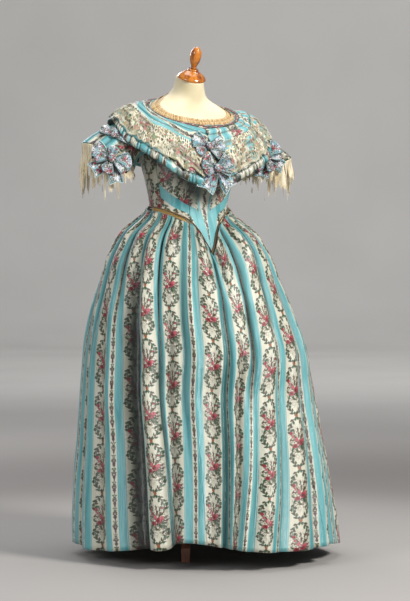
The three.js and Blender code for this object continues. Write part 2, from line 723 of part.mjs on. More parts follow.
// ---------- bows ----------
// A bow is a swelling of its own outline above the cloth that carries it.
// place(u, v, out): point at u across and v up, both -1..1. lobes: where the bow stands high.
function bowSolid(place, lobes, gap, columns, rows) {
  const swell = (u, v) => {
    let best = 0;
    for (const lobe of lobes) {
      const away = ((u - lobe.u) / lobe.wide) ** 2 + ((v - lobe.v) / lobe.high) ** 2;
      best = Math.max(best, lobe.thick * Math.sqrt(Math.max(1 - away, 0)));
    }
    return best;
  };
  const corner = (u, v) => {
    const a = u * 2 - 1;
    const b = v * 2 - 1;
    return [a * Math.sqrt(1 - b * b / 2), b * Math.sqrt(1 - a * a / 2)];
  };
  const face = (inside) => (u, v) => {
    const [a, b] = corner(u, v);
    return place(a, b, gap + (inside ? 0 : 2 + swell(a, b)));
  };
  return wallSolid(columns, rows, face(false), face(true), false);
}

const twinLobes = [
  { u: -0.5, v: 0.1, wide: 0.5, high: 0.75, thick: 22 },
  { u: 0.5, v: 0.1, wide: 0.5, high: 0.75, thick: 22 },
  { u: 0, v: 0, wide: 0.22, high: 0.35, thick: 26 },
];
const tailLobes = [
  ...twinLobes,
  { u: -0.35, v: -0.6, wide: 0.35, high: 0.5, thick: 12 },
  { u: 0.35, v: -0.6, wide: 0.35, high: 0.5, thick: 12 },
];
const frontBows = [
  { name: 'bow_upper', around: 0, down: 0.3, wide: 22, high: 0.17, lift: 0, lobes: twinLobes },
  { name: 'bow_lower', around: 0, down: 0.78, wide: 22, high: 0.22, lift: 8, lobes: tailLobes },
];
for (const bow of frontBows) {
  const place = (u, v, out) =>
    berthaPoint(bow.around + u * bow.wide, bow.down - v * bow.high, wall + bow.lift + out);
  add(bow.name, 'silk', bowSolid(place, bow.lobes, layerGap, 8, 5));
}

for (const [name, sign] of [['left', 1], ['right', -1]]) {
  const big = (u, v, out) =>
    sleevePoint(sign, 0.14 + u * 0.22, 0.84 - v * 0.14 + 0.02 * u * u, wall + out);
  add(`sleeve_bow_${name}`, 'silk', bowSolid(big, twinLobes, 3.6 * layerGap, 8, 5));
}

// Origin on the floor, below the middle of the whole.
group.updateMatrixWorld(true);
const box = new THREE.Box3().setFromObject(group);
const middle = box.getCenter(new THREE.Vector3());
group.position.set(-middle.x, -middle.y, -box.min.z);

export default group;
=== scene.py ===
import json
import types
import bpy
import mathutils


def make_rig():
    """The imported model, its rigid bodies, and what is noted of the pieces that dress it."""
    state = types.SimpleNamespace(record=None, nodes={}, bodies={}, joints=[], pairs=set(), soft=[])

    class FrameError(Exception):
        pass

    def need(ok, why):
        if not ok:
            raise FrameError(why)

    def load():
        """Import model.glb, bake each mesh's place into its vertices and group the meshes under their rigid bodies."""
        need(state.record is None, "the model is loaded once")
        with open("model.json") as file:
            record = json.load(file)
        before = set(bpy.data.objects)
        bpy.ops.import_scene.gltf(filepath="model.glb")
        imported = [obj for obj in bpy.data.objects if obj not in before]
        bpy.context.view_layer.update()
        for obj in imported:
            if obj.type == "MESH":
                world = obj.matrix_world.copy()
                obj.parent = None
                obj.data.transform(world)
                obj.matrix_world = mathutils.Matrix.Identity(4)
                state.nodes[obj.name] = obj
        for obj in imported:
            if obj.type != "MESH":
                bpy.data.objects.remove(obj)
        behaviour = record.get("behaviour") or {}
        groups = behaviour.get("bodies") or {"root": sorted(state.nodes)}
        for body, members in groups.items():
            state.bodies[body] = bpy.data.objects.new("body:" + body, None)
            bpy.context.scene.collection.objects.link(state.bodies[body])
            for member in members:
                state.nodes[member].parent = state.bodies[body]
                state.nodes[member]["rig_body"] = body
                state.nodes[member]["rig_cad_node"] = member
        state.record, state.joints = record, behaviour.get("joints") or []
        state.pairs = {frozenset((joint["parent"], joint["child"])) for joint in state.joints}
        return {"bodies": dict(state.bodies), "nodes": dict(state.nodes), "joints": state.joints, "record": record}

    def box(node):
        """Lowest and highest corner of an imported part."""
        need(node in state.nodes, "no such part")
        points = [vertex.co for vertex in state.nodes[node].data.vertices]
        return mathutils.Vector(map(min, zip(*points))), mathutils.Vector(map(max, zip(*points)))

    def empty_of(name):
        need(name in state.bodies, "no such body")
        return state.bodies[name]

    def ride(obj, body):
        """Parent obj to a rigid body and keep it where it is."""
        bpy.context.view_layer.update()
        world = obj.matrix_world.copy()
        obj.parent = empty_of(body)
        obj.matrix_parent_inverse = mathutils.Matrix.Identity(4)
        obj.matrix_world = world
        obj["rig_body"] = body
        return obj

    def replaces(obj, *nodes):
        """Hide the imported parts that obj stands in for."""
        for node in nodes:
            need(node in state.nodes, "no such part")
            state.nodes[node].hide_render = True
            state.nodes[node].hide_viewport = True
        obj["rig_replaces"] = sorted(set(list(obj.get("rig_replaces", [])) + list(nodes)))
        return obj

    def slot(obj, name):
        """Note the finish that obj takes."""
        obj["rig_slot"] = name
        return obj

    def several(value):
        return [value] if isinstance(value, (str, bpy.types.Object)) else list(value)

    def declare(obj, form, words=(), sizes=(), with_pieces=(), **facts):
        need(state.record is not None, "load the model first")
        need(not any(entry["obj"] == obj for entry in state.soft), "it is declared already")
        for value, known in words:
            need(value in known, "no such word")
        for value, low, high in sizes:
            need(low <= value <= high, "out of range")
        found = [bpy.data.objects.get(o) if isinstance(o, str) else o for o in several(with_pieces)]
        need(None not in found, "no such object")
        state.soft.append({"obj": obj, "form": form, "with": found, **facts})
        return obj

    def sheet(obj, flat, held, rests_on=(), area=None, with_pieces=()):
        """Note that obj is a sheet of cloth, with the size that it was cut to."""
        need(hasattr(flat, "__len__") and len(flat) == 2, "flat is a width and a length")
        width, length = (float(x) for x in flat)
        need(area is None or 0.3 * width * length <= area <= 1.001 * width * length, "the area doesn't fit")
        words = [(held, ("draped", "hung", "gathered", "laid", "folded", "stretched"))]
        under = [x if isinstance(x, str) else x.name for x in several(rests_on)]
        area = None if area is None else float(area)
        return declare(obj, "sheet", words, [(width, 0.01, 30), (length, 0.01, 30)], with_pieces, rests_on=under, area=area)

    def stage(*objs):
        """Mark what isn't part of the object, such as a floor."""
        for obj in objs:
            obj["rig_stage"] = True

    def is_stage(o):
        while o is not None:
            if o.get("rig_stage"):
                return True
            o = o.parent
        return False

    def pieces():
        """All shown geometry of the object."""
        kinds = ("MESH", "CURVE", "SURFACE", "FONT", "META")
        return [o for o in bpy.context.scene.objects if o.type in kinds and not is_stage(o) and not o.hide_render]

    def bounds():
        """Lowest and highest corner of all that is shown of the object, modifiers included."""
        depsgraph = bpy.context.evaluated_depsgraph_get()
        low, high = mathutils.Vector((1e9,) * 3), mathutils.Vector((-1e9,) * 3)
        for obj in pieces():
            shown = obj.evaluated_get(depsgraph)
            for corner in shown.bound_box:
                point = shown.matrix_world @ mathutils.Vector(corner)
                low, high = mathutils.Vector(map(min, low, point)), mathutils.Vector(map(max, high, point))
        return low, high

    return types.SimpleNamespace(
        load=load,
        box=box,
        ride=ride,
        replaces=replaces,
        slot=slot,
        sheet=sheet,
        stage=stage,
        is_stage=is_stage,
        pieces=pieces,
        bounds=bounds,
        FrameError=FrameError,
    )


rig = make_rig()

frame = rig.load()

import json
import math

import bpy
import numpy as np
from mathutils import Vector

cadLow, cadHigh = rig.bounds()
poleLow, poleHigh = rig.box("pole")
axis = np.array([(poleLow.x + poleHigh.x) / 2, (poleLow.y + poleHigh.y) / 2, 0.0])
print("frame loaded, axis at", axis.round(4))


# shader maths as plain expressions

def linear(code):
    # "#rrggbb" to the linear colour that a shader takes
    parts = [int(code[k:k + 2], 16) / 255 for k in (1, 3, 5)]
    return tuple(c / 12.92 if c <= 0.04045 else ((c + 0.055) / 1.055) ** 2.4 for c in parts) + (1.0,)


class Val:
    # one socket, with a kind of "value", "colour" or "vector"
    def __init__(self, shader, socket, kind="value"):
        self.shader, self.socket, self.kind = shader, socket, kind

    def sum(self, operation, other, swap=False):
        a, b = (other, self) if swap else (self, other)
        if self.kind == "colour":
            return self.shader.blend(a, b, 1.0, operation)
        if self.kind == "vector":
            return self.shader.node("VectorMath", {"operation": operation}, {0: a, 1: b}, gives="vector")
        return self.shader.node("Math", {"operation": operation}, {0: a, 1: b})

    def __add__(self, other): return self.sum("ADD", other)
    def __radd__(self, other): return self.sum("ADD", other, True)
    def __sub__(self, other): return self.sum("SUBTRACT", other)
    def __rsub__(self, other): return self.sum("SUBTRACT", other, True)
    def __mul__(self, other): return self.sum("MULTIPLY", other)
    def __rmul__(self, other): return self.sum("MULTIPLY", other, True)
    def __truediv__(self, other): return self.sum("DIVIDE", other)
    def call(self, operation, other=0.0): return self.sum(operation, other)


class Shader:
    def __init__(self, name):
        self.material = bpy.data.materials.new(name)
        self.material.use_nodes = True
        self.tree = self.material.node_tree
        self.tree.nodes.clear()

    def node(self, kind, settings=None, sockets=None, out=0, gives="value"):
        made = self.tree.nodes.new("ShaderNode" + kind)
        for name, value in (settings or {}).items():
            setattr(made, name, value)
        for key, value in (sockets or {}).items():
            if isinstance(value, Val):
                self.tree.links.new(value.socket, made.inputs[key])
            else:
                made.inputs[key].default_value = value
        return Val(self, made.outputs[out], gives)

    def blend(self, a, b, share, how="MIX"):
        # colours are sockets or "#rrggbb"
        a, b = (linear(c) if isinstance(c, str) else c for c in (a, b))
        return self.node("Mix", {"data_type": "RGBA", "blend_type": how}, {0: share, 6: a, 7: b},
                         out=2, gives="colour")

    def step(self, value, low, high):
        # 0 below low and 1 above high, smooth between; low may be the larger
        return self.node("MapRange", {"interpolation_type": "SMOOTHSTEP"},
                         {"Value": value, "From Min": low, "From Max": high})

    def noise(self, where, scale, detail=2.0, out="Fac"):
        return self.node("TexNoise", {"noise_dimensions": "3D"},
                         {"Vector": where, "Scale": scale, "Detail": detail}, out=out)

    def attribute(self, name):
        return self.node("Attribute", {"attribute_type": "GEOMETRY", "attribute_name": name}, out="Fac")

    def place(self, x, y, z=0.0):
        return self.node("CombineXYZ", None, {0: x, 1: y, 2: z}, gives="vector")

    def parts(self, vector):
        # its x, y and z
        made = self.node("SeparateXYZ", None, {0: vector}).socket.node
        return [Val(self, socket) for socket in made.outputs]

    def length(self, vector):
        return self.node("VectorMath", {"operation": "LENGTH"}, {0: vector}, out="Value")

    def shake(self, where, scale, detail, reach):
        # uneven shifts of up to half of reach, across and along
        rough = self.node("TexNoise", None, {"Vector": where, "Scale": scale, "Detail": detail},
                          out="Color", gives="vector")
        return (rough - (0.5, 0.5, 0.5)) * (reach, reach, 0.0)

    def mapped(self):
        # cloth coordinates in millimetres: across the stripes, and along them
        return self.parts(self.node("UVMap", {"uv_map": "cloth"}, gives="vector"))[:2]

    def object(self):
        return self.node("TexCoord", out="Object", gives="vector")

    def finish(self, colour, roughness, bump=None, depth=0.001, alpha=None, **constants):
        sockets = {"Base Color": colour, "Roughness": roughness}
        if alpha is not None:
            sockets["Alpha"] = alpha
        if bump is not None:
            sockets["Normal"] = self.node("Bump", None, {"Height": bump, "Distance": depth, "Strength": 1.0},
                                          gives="vector")
        for name, value in constants.items():
            sockets[name.replace("_", " ")] = value
        skin = self.node("BsdfPrincipled", None, sockets)
        end = self.tree.nodes.new("ShaderNodeOutputMaterial")
        self.tree.links.new(skin.socket, end.inputs["Surface"])
        return self.material


# the silk: turquoise and cream stripes with woven flowers

silk = {
    "repeat": 132.5,        # mm from one wide cream stripe to the next
    "wide": 0.227,          # half of the wide cream stripe, in repeats
    "narrow": 0.431,        # where the narrow cream stripe starts, in repeats
    "bouquetEvery": 148.0,  # mm along the stripe
    "sprigEvery": 37.0,     # mm along the narrow stripe
    "vineReach": 20.5,      # mm from the stripe's middle to a vine at its widest
    "turquoise": "#68ADB1", "turquoiseDeep": "#3E9097", "cream": "#BDBAA4", "pale": "#D4D3C4",
    "crimson": "#8B1029", "pink": "#A94450", "maroon": "#361115", "green": "#17472B",
    "leaf": "#3B6238", "brown": "#46331C", "knot": "#8A4A1A",
    "bowWhite": "#E4E4E2", "bowLilac": "#AEB6CF", "bowBlue": "#5FAEBB",
    "bowEdge": "#1F6E78", "bowRim": "#DDE6E2",
    "shade": "#6A7268", "deepShade": "#12211F",      # painted shade, laid into the hollows of folds, gathers and seams
    "rib": 1.1,             # mm from one rib of the weave to the next
}

# roses of one bouquet: mm from its middle, mm of radius, colour
roses = [
    (6, -2, 7.4, "crimson"), (-8, -10, 6.6, "crimson"), (13, 5, 4.8, "pink"), (-3, 8, 4.8, "pink"),
    (-17, 27, 4.6, "crimson"), (-12, 18, 3.8, "pink"), (5, -2, 2.6, "maroon"), (-8, -9, 2.4, "maroon"),
    (1, -12, 2.8, "maroon"), (15, 33, 2.8, "crimson"),
]
# its leaves and stems: mm from its middle, half length, half width, degrees, colour
leaves = [
    (17, -9, 8, 3.4, -10, "green"), (9, -17, 8, 3.6, -65, "green"), (-3, -22, 7, 3.6, -80, "leaf"),
    (20, -20, 6, 3, -50, "green"), (-16, -19, 7, 3.4, -120, "green"), (-20, -3, 6, 3, 150, "leaf"),
    (3, -27, 5, 2.6, 20, "brown"), (-21, 10, 4, 2.4, 60, "maroon"), (17, -1, 5, 2.6, -40, "maroon"),
    (-16, 8, 5.5, 2.2, 140, "brown"), (9, 14, 8.5, 1.9, 62, "brown"), (16, 18, 7.5, 1.8, 48, "brown"),
    (20, 5, 6.5, 2, 20, "brown"), (2, 20, 8.5, 1.8, 88, "brown"), (-6, 17, 7.5, 1.8, 118, "brown"),
    (10, 31, 5.5, 2.2, 70, "green"), (22, 28, 5, 2, 40, "green"), (0, 35, 5.5, 2.2, 95, "brown"),
    (-10, 34, 4.5, 2, 100, "green"), (23, -3, 4, 2.2, 0, "maroon"),
]
# leaves on one quarter of the crossing vines, measured from the bouquet
vineLeaves = [
    (23, 30, 6.5, 3.1, 40), (15, 35, 6.5, 3, 140), (25, 41, 6, 3.1, 100), (16, 47, 6.5, 3, 70),
    (20, 53, 6.5, 3.1, 150), (9, 56, 6, 2.9, 85), (13, 64, 6, 3, 165), (3, 66, 5, 2.8, 110),
]
# the sprig of the narrow stripe: mm from its middle and foot, then as for the leaves
sprig = [
    (0, 9, 7.5, 3.4, 90, "maroon"), (-3.5, 17, 4.2, 2, 120, "brown"), (3.5, 2, 4.2, 2, 60, "brown"),
    (1, 27, 5.5, 2.7, 85, "green"), (-3, 22, 3.8, 1.8, 130, "brown"), (3, 33, 4, 1.7, 60, "brown"),
    (-4, 34, 2.6, 1.7, 90, "leaf"),
]


def nearest(sh, where, shapes):
    # 1 at the edge of the nearest leaf, less inside it
    found = None
    for x, y, long, wide, turn in shapes:
        put = sh.node("Mapping", {"vector_type": "TEXTURE"},
                      {"Vector": where, "Location": (x, y, 0.0), "Rotation": (0.0, 0.0, math.radians(turn)),
                       "Scale": (long, wide, 1.0)}, gives="vector")
        near = sh.length(put)
        found = near if found is None else found.call("MINIMUM", near)
    return found


def strew(sh, colour, where, shapes):
    # leaves of the same colour are laid on together
    for name in ("brown", "leaf", "green", "maroon"):
        found = nearest(sh, where, [shape for *shape, tint in shapes if tint == name])
        if found is not None:
            colour = sh.blend(colour, silk[name], sh.step(found, 1.25, 0.8))
    return colour


def wideFlowers(sh, ground, p, q):
    # p: mm from the stripe's middle; q: mm along, 0 at a bouquet
    half = silk["bouquetEvery"] / 2
    where = sh.place(p, q)
    shaken = where + sh.shake(where, 0.16, 2.0, 9.0)
    px, qx = (part.call("ABSOLUTE") for part in sh.parts(shaken)[:2])
    vine = (qx * (math.pi / half)).call("SINE").call("ABSOLUTE") * silk["vineReach"]
    stalk = sh.step((px - vine).call("ABSOLUTE"), 2.4, 1.1) * 0.9
    tone = sh.step(sh.noise(where, 0.11, 1.0), 0.42, 0.5)
    ink = sh.blend(silk["brown"], silk["green"], tone)
    leafy = sh.step(nearest(sh, sh.place(px, qx), vineLeaves), 1.25, 0.8)
    colour = sh.blend(ground, ink, leafy.call("MAXIMUM", stalk))
    colour = strew(sh, colour, shaken, leaves)
    fleck = sh.step(sh.noise(shaken, 0.24, 2.0), 0.49, 0.54)   # small brown strokes among the leaves
    near = sh.length(shaken * (1.0, 0.62, 0.0))
    colour = sh.blend(colour, silk["brown"], fleck * sh.step(near, 36, 16) * 0.85)
    for x, y, radius, name in roses:
        gap = sh.node("VectorMath", {"operation": "DISTANCE"}, {0: shaken, 1: (x, y, 0.0)}, out="Value")
        colour = sh.blend(colour, silk[name], sh.step(gap, radius + 0.9, radius - 0.5))
    knot = sh.length(sh.place(px, qx - half))
    return sh.blend(colour, silk["knot"], sh.step(knot, 5.2, 3.4))


def narrowFlowers(sh, ground, p, along):
    # p: mm from the narrow stripe's middle
    every = silk["sprigEvery"]
    q = (along / every).call("FRACT") * every
    shaken = sh.place(p, q) + sh.shake(sh.place(p, along), 0.2, 1.0, 7.0)
    sway = (along * (2 * math.pi / every)).call("SINE") * 2.4
    stem = (p - sway).call("ABSOLUTE")
    colour = sh.blend(ground, silk["brown"], sh.step(stem, 1.8, 0.7) * 0.8)
    return strew(sh, colour, shaken, sprig)


def silkMaterial(name, cut="length"):
    # cut: "length" runs in stripes; "front" has its bands placed by the attributes away and line;
    # "ruche" shows only the flowers' colours; "bow" is printed all over, with teal edges darkened into a painted
    # shadow outline
    sh = Shader(name)
    across, along = sh.mapped()
    repeat, every, wide, narrow = (silk[k] for k in ("repeat", "bouquetEvery", "wide", "narrow"))

    def middled(value, real, drawn):
        # mm from the middle of a band that is real mm wide and shows drawn mm of the pattern
        return ((value / real + 0.5).call("FRACT") - 0.5) * drawn

    turns = across / repeat
    near = (turns + 0.5).call("FLOOR")
    f = turns - near                                   # -0.5 to 0.5, 0 in the middle of a wide stripe
    odd = (near * 0.5).call("FRACT")                   # every other stripe is half a bouquet further on
    q = ((along / every + odd + 0.5).call("FRACT") - 0.5) * every
    shine = sh.noise(sh.place(across * 0.05, along * 0.004), 1.0, 2.0)
    cream = sh.blend(silk["cream"], silk["pale"], shine)
    turquoise = sh.blend(silk["turquoiseDeep"], silk["turquoise"], sh.step(shine, 0.3, 0.6))
    if cut == "front":
        flowers = wideFlowers(sh, cream, middled(across, 60.0, 60.0), q)
        middle = narrowFlowers(sh, cream, across, along)
        line = sh.attribute("line")                    # mm outside the thin line beside the middle
        away = sh.attribute("away").call("ABSOLUTE")   # mm from the slanting band's middle
        colour = sh.blend(flowers, middle, sh.step(line, 0.5, -0.5))
        colour = sh.blend(colour, turquoise, sh.step(line.call("ABSOLUTE"), 4.0, 3.0))
        colour = sh.blend(colour, turquoise, sh.step(away, 13.0, 12.0) * sh.step(line, -3.4, -2.6))
    elif cut == "ruche":
        fleck = sh.noise(sh.place(across, along), 0.16, 1.0)
        colour = silk["green"]
        for tint, low, high in (("maroon", 0.4, 0.46), ("crimson", 0.54, 0.58), ("cream", 0.62, 0.66)):
            colour = sh.blend(colour, silk[tint], sh.step(fleck, low, high))
    elif cut == "bow":
        ground = sh.blend(silk["bowWhite"], silk["bowLilac"],
                          sh.step(sh.noise(sh.place(across, along), 0.06), 0.4, 0.62))
        colour = wideFlowers(sh, ground, middled(across, 30.0, 48.0), middled(along, 70.0, 112.0))
        blue = sh.step(sh.noise(sh.place(across, along, 3.0), 0.07), 0.54, 0.6)
        rim = sh.attribute("rim")
        colour = sh.blend(colour, silk["bowBlue"], blue * 0.6)
        # the ribbon's teal edge, darkened into a painted shadow outline inside the rim
        colour = sh.blend(colour, silk["bowEdge"], sh.step(rim, 0.78, 0.86))
        colour = sh.blend(colour, silk["bowRim"], sh.step(rim, 0.92, 0.96) * 0.85)
    else:
        side = f.call("ABSOLUTE")
        colour = wideFlowers(sh, cream, f * repeat, q)
        between = narrowFlowers(sh, cream, (side - 0.5) * repeat, along)
        colour = sh.blend(colour, turquoise, sh.step(side, wide - 0.004, wide + 0.004))
        hair = sh.step((side - (wide + 0.022)).call("ABSOLUTE"), 0.010, 0.005)
        colour = sh.blend(colour, silk["pale"], hair * 0.35)
        colour = sh.blend(colour, between, sh.step(side, narrow - 0.004, narrow + 0.004))
    # painted shade: the colour is darkened, and deep teal laid in, where hollow is set in folds, gathers and seams
    hollow = sh.attribute("hollow")
    colour = sh.blend(colour, silk["shade"], hollow, "MULTIPLY")
    colour = sh.blend(colour, silk["deepShade"], sh.step(hollow, 0.6, 1.0) * 0.55)
    rib = (along * (2 * math.pi / silk["rib"])).call("SINE") * 0.5 + 0.5
    crush = sh.noise(sh.place(across * 0.5, along * 0.16), 0.16, 3.0)
    drape = sh.noise(sh.place(across * 0.12, along * 0.02), 0.22, 2.0)
    height = rib * 0.04 + crush * 0.7 + drape * 1.4
    gloss = sh.step(sh.noise(sh.place(across, along * 0.2), 0.06), 0.3, 0.7) * 0.1 + 0.3
    return sh.finish(colour, gloss, height, 0.0034, Specular_IOR_Level=0.8, Sheen_Weight=0.12,
                     Sheen_Roughness=0.4)


def laceMaterial(name, light, dark, mesh, strand, cover, printed=False, fringe=0.0, bald=0.0, veil=0.93):
    # netted ground with strands along it; the holes are in Alpha
    # mesh: mm from hole to hole; strand, cover, fringe and bald: shares of strands, of solid figures, of
    # strands parted at the lower edge and of thin places; veil: how solid the thread is
    sh = Shader(name)
    across, along = sh.mapped()
    streak = sh.noise(sh.place(across, along * 0.05), 0.55, 3.0)
    cells = sh.node("TexVoronoi", {"feature": "DISTANCE_TO_EDGE"},
                    {"Vector": sh.place(across, along * 0.7), "Scale": 1.0 / mesh}, out="Distance")
    thread = sh.step(cells, 0.22, 0.1)
    solid = sh.step(sh.noise(sh.place(across, along), 0.11, 2.0), 0.62 - cover * 0.3, 0.68 - cover * 0.3)
    lines = sh.step(streak, 0.56 - strand * 0.2, 0.62 - strand * 0.2)
    alpha = thread.call("MAXIMUM", solid * 0.85).call("MAXIMUM", lines * strand)
    if bald:     # the cloth under it shows
        thin = sh.step(sh.noise(sh.place(across * 0.5, along, 7.0), 0.03, 1.0), 0.56, 0.42)
        alpha = alpha * (1.0 - thin * bald)
    alpha = alpha.call("MAXIMUM", sh.attribute("rim")) * veil
    if fringe:
        parting = sh.noise(sh.place(across * 0.8, along * 0.1), 0.10, 2.0) + along / 110.0 * fringe
        alpha = alpha * sh.step(parting, 0.72, 0.64)
    colour = sh.blend(dark, light, sh.step(streak, 0.36, 0.6))
    if printed:
        flecks = sh.noise(sh.place(across, along, 5.0), 0.11, 2.0)
        kind = sh.noise(sh.place(across, along, 11.0), 0.07, 1.0)
        ink = sh.blend("#7A5A38", "#5B7A55", sh.step(kind, 0.42, 0.5))
        ink = sh.blend(ink, "#A8505A", sh.step(kind, 0.56, 0.6))
        fleck = sh.step(flecks, 0.54, 0.58)
        colour = sh.blend(colour, ink, fleck * 0.8)
        alpha = alpha.call("MAXIMUM", fleck * 0.9)
    # painted shade: the dark tone laid where hollow is set
    colour = sh.blend(colour, dark, sh.attribute("hollow") * 0.8)
    return sh.finish(colour, 0.85, cells, 0.0006, alpha=alpha, Specular_IOR_Level=0.2, Sheen_Weight=0.2)


def plainCloth(name, light, dark, scale, roughness):
    sh = Shader(name)
    where = sh.object()
    weave = sh.noise(where, scale, 2.0)
    stain = sh.noise(where, 9.0, 3.0)
    colour = sh.blend(dark, light, sh.step(stain, 0.25, 0.6))
    colour = sh.blend(colour, dark, sh.step(weave, 0.55, 0.75) * 0.2)
    return sh.finish(colour, roughness, weave, 0.0003, Specular_IOR_Level=0.3, Sheen_Weight=0.15)


def woodMaterial(name, light, dark, roughness, coat):
    sh = Shader(name)
    x, y, z = sh.parts(sh.object())
    grain = sh.noise(sh.place(x * 26.0, y * 26.0, z * 4.0), 2.2, 4.0)
    fine = sh.noise(sh.place(x * 240.0, y * 240.0, z * 16.0), 1.0, 2.0)
    colour = sh.blend(dark, light, sh.step(grain, 0.32, 0.62))
    colour = sh.blend(colour, dark, sh.step(fine, 0.55, 0.7) * 0.35)
    return sh.finish(colour, sh.step(grain, 0.2, 0.8) * 0.08 + roughness, fine, 0.0002,
                     Coat_Weight=coat, Coat_Roughness=0.08)


silkLength = silkMaterial("silkLength")
silkFront = silkMaterial("silkFront", "front")
silkBow = silkMaterial("silkBow", "bow")
laceFall = laceMaterial("laceFall", "#F6EDD6", "#D2BC8C", mesh=6.0, strand=0.9, cover=0.1, fringe=0.34,
                        veil=0.84)
laceNeck = laceMaterial("laceNeck", "#E2CBA0", "#9E7640", mesh=3.0, strand=0.8, cover=1.0)
laceFlounce = laceMaterial("laceFlounce", "#E2DFCC", "#B9AF8E", mesh=7.0, strand=0.1, cover=0.0, printed=True,
                           bald=0.9)
ruchePrint = silkMaterial("ruchePrint", "ruche")
pipingCloth = plainCloth("pipingCloth", "#7A5A36", "#3E2A18", 700.0, 0.6)
tapeCloth = plainCloth("tapeCloth", "#C9A25E", "#9A7538", 800.0, 0.85)
formCover = plainCloth("formCover", "#E2D7B8", "#D0C19A", 1100.0, 0.8)
amberWood = woodMaterial("amberWood", "#C9781F", "#7A390B", 0.2, 0.9)
brownWood = woodMaterial("brownWood", "#B0755A", "#7C4A36", 0.42, 0.2)
print("materials made")


# curves and outlines, in mm about the pole

def curve(table, k=1):
    # smooth curve through column k of rows sorted by their first number
    keys = np.array([row[0] for row in table], float)
    values = np.array([row[k] for row in table], float)
    count = len(keys)
    low, high = np.maximum(np.arange(count) - 1, 0), np.minimum(np.arange(count) + 1, count - 1)
    slopes = (values[high] - values[low]) / (keys[high] - keys[low])

    def at(x):
        x = np.clip(np.asarray(x, float), keys[0], keys[-1])
        i = np.clip(np.searchsorted(keys, x, side="right") - 1, 0, count - 2)
        step = keys[i + 1] - keys[i]
        t = (x - keys[i]) / step
        bend = t * t * (3 - 2 * t)
        return (values[i] * (1 - bend) + values[i + 1] * bend
                + t * (1 - t) ** 2 * step * slopes[i] + t * t * (t - 1) * step * slopes[i + 1])
    return at


def ease(t):
    t = np.clip(t, 0, 1)
    return t * t * (3 - 2 * t)


def mix(a, b, t):
    return a + (b - a) * t


def wrap(around):
    return (np.asarray(around, float) + 180) % 360 - 180


def vec(x, y, z):
    return np.stack(np.broadcast_arrays(np.asarray(x, float), y, z), -1)


def ripple(x, seed, waves=5, low=1.0, high=4.0):
    # uneven wave of about -1 to 1 along x, the same each run
    pick = np.random.default_rng(seed)
    total = 0
    for _ in range(waves):
        total = total + np.sin(x * pick.uniform(low, high) + pick.uniform(0, 6.28)) * pick.uniform(0.5, 1)
    return total / waves ** 0.5 / 0.75


formLevels = [  # height, half width, reach ahead and behind, forward lean in degrees
    (790, 146, 122, 118, 0), (830, 156, 134, 127, 0), (884, 154, 141, 123, 0), (920, 146, 130, 114, 0),
    (960, 133, 115, 103, 0), (1000, 118, 98, 92, 0), (1024, 114, 93, 88, 0), (1060, 119, 98, 90, 0),
    (1100, 130, 111, 95, 0), (1140, 141, 122, 101, 0), (1170, 147, 122, 104, 0), (1200, 151, 113, 107, 0),
    (1230, 157, 98, 108, 0), (1262, 163, 80, 106, 0), (1285, 157, 69, 102, 0), (1303, 139, 61, 97, 0),
    (1322, 108, 55, 90, 2), (1338, 78, 53, 80, 7), (1352, 56, 54, 62, 13), (1370, 45, 57, 36, 19),
    (1399, 40, 60, 20, 22),
]
formSide, formAhead, formBehind, formTilt = (curve(formLevels, k) for k in (1, 2, 3, 4))
wall, formClearance = 2.0, 3.5      # mm of cloth, and mm between the form and the cloth
onForm = formClearance + wall


def settle(p):
    # the shoulders hang a little lower on the wearer's left
    p = np.array(p, float)
    p[..., 2] -= 0.05 * p[..., 0] * ease((p[..., 2] - 1060) / 160) * (1 - ease((p[..., 2] - 1335) / 40))
    return p


def planPoint(side, ahead, behind, swing, around, height):
    turn = np.radians(around)
    reach = np.where(np.cos(turn) > 0, ahead, behind)
    return vec(swing + side * np.sin(turn), -reach * np.cos(turn), height)


def bodyPoint(around, height, out):
    ahead, behind = formAhead(height) + out, formBehind(height) + out
    p = planPoint(formSide(height) + out, ahead, behind, 0, around, height)
    p[..., 2] += np.tan(np.radians(formTilt(height))) * (p[..., 1] - (behind - ahead) / 2)
    return p


waistSeam = curve([(0, 884), (6, 917), (12, 950), (23, 982), (40, 1000), (60, 1013), (90, 1022), (135, 1019),
                   (180, 1012)])


def seamLine(around, below):
    a = np.abs(wrap(around))
    rise = waistSeam(a + 1.5) - waistSeam(np.maximum(a - 1.5, 0))
    run = formSide(1000) * np.radians(np.minimum(a, 1.5) + 1.5)
    return waistSeam(a) - below * np.hypot(1, rise / run)


neckline = curve([(0, 1262), (30, 1272), (60, 1298), (90, 1320), (120, 1332), (150, 1336), (180, 1334)])


def neckHeight(around):
    return neckline(np.abs(wrap(around)))


# meshes from grids of points

def grid(start, stop, columns, rows):
    # a row of places from start to stop, and a column of shares from 0 to 1
    return np.linspace(start, stop, columns)[None, :], np.linspace(0, 1, rows)[:, None]


def pair(across, along):
    return np.stack(np.broadcast_arrays(across, along), -1)


def unit(v):
    return v / np.linalg.norm(v, axis=-1, keepdims=True)


def patch(points, uv=None, closed=False, **more):
    # points: rows by columns; uv: mm across and along; more: values for the shader
    # closed: the last column, which lies on the first, is left out of all but uv
    shape = points.shape[:2]
    uv = np.zeros((*shape, 2)) if uv is None else uv
    more = {n: np.broadcast_to(value, shape) for n, value in more.items()}
    if closed:
        points, more = points[:, :-1], {n: value[:, :-1] for n, value in more.items()}
    return {"points": points, "uv": uv, "closed": closed, "more": more}


def addMesh(name, places, faces, material):
    mesh = bpy.data.meshes.new(name)
    mesh.from_pydata(places.tolist(), [], faces.tolist())
    mesh.polygons.foreach_set("use_smooth", np.ones(len(faces), bool))
    mesh.materials.append(material)
    made = bpy.data.objects.new(name, mesh)
    bpy.context.collection.objects.link(made)
    return made


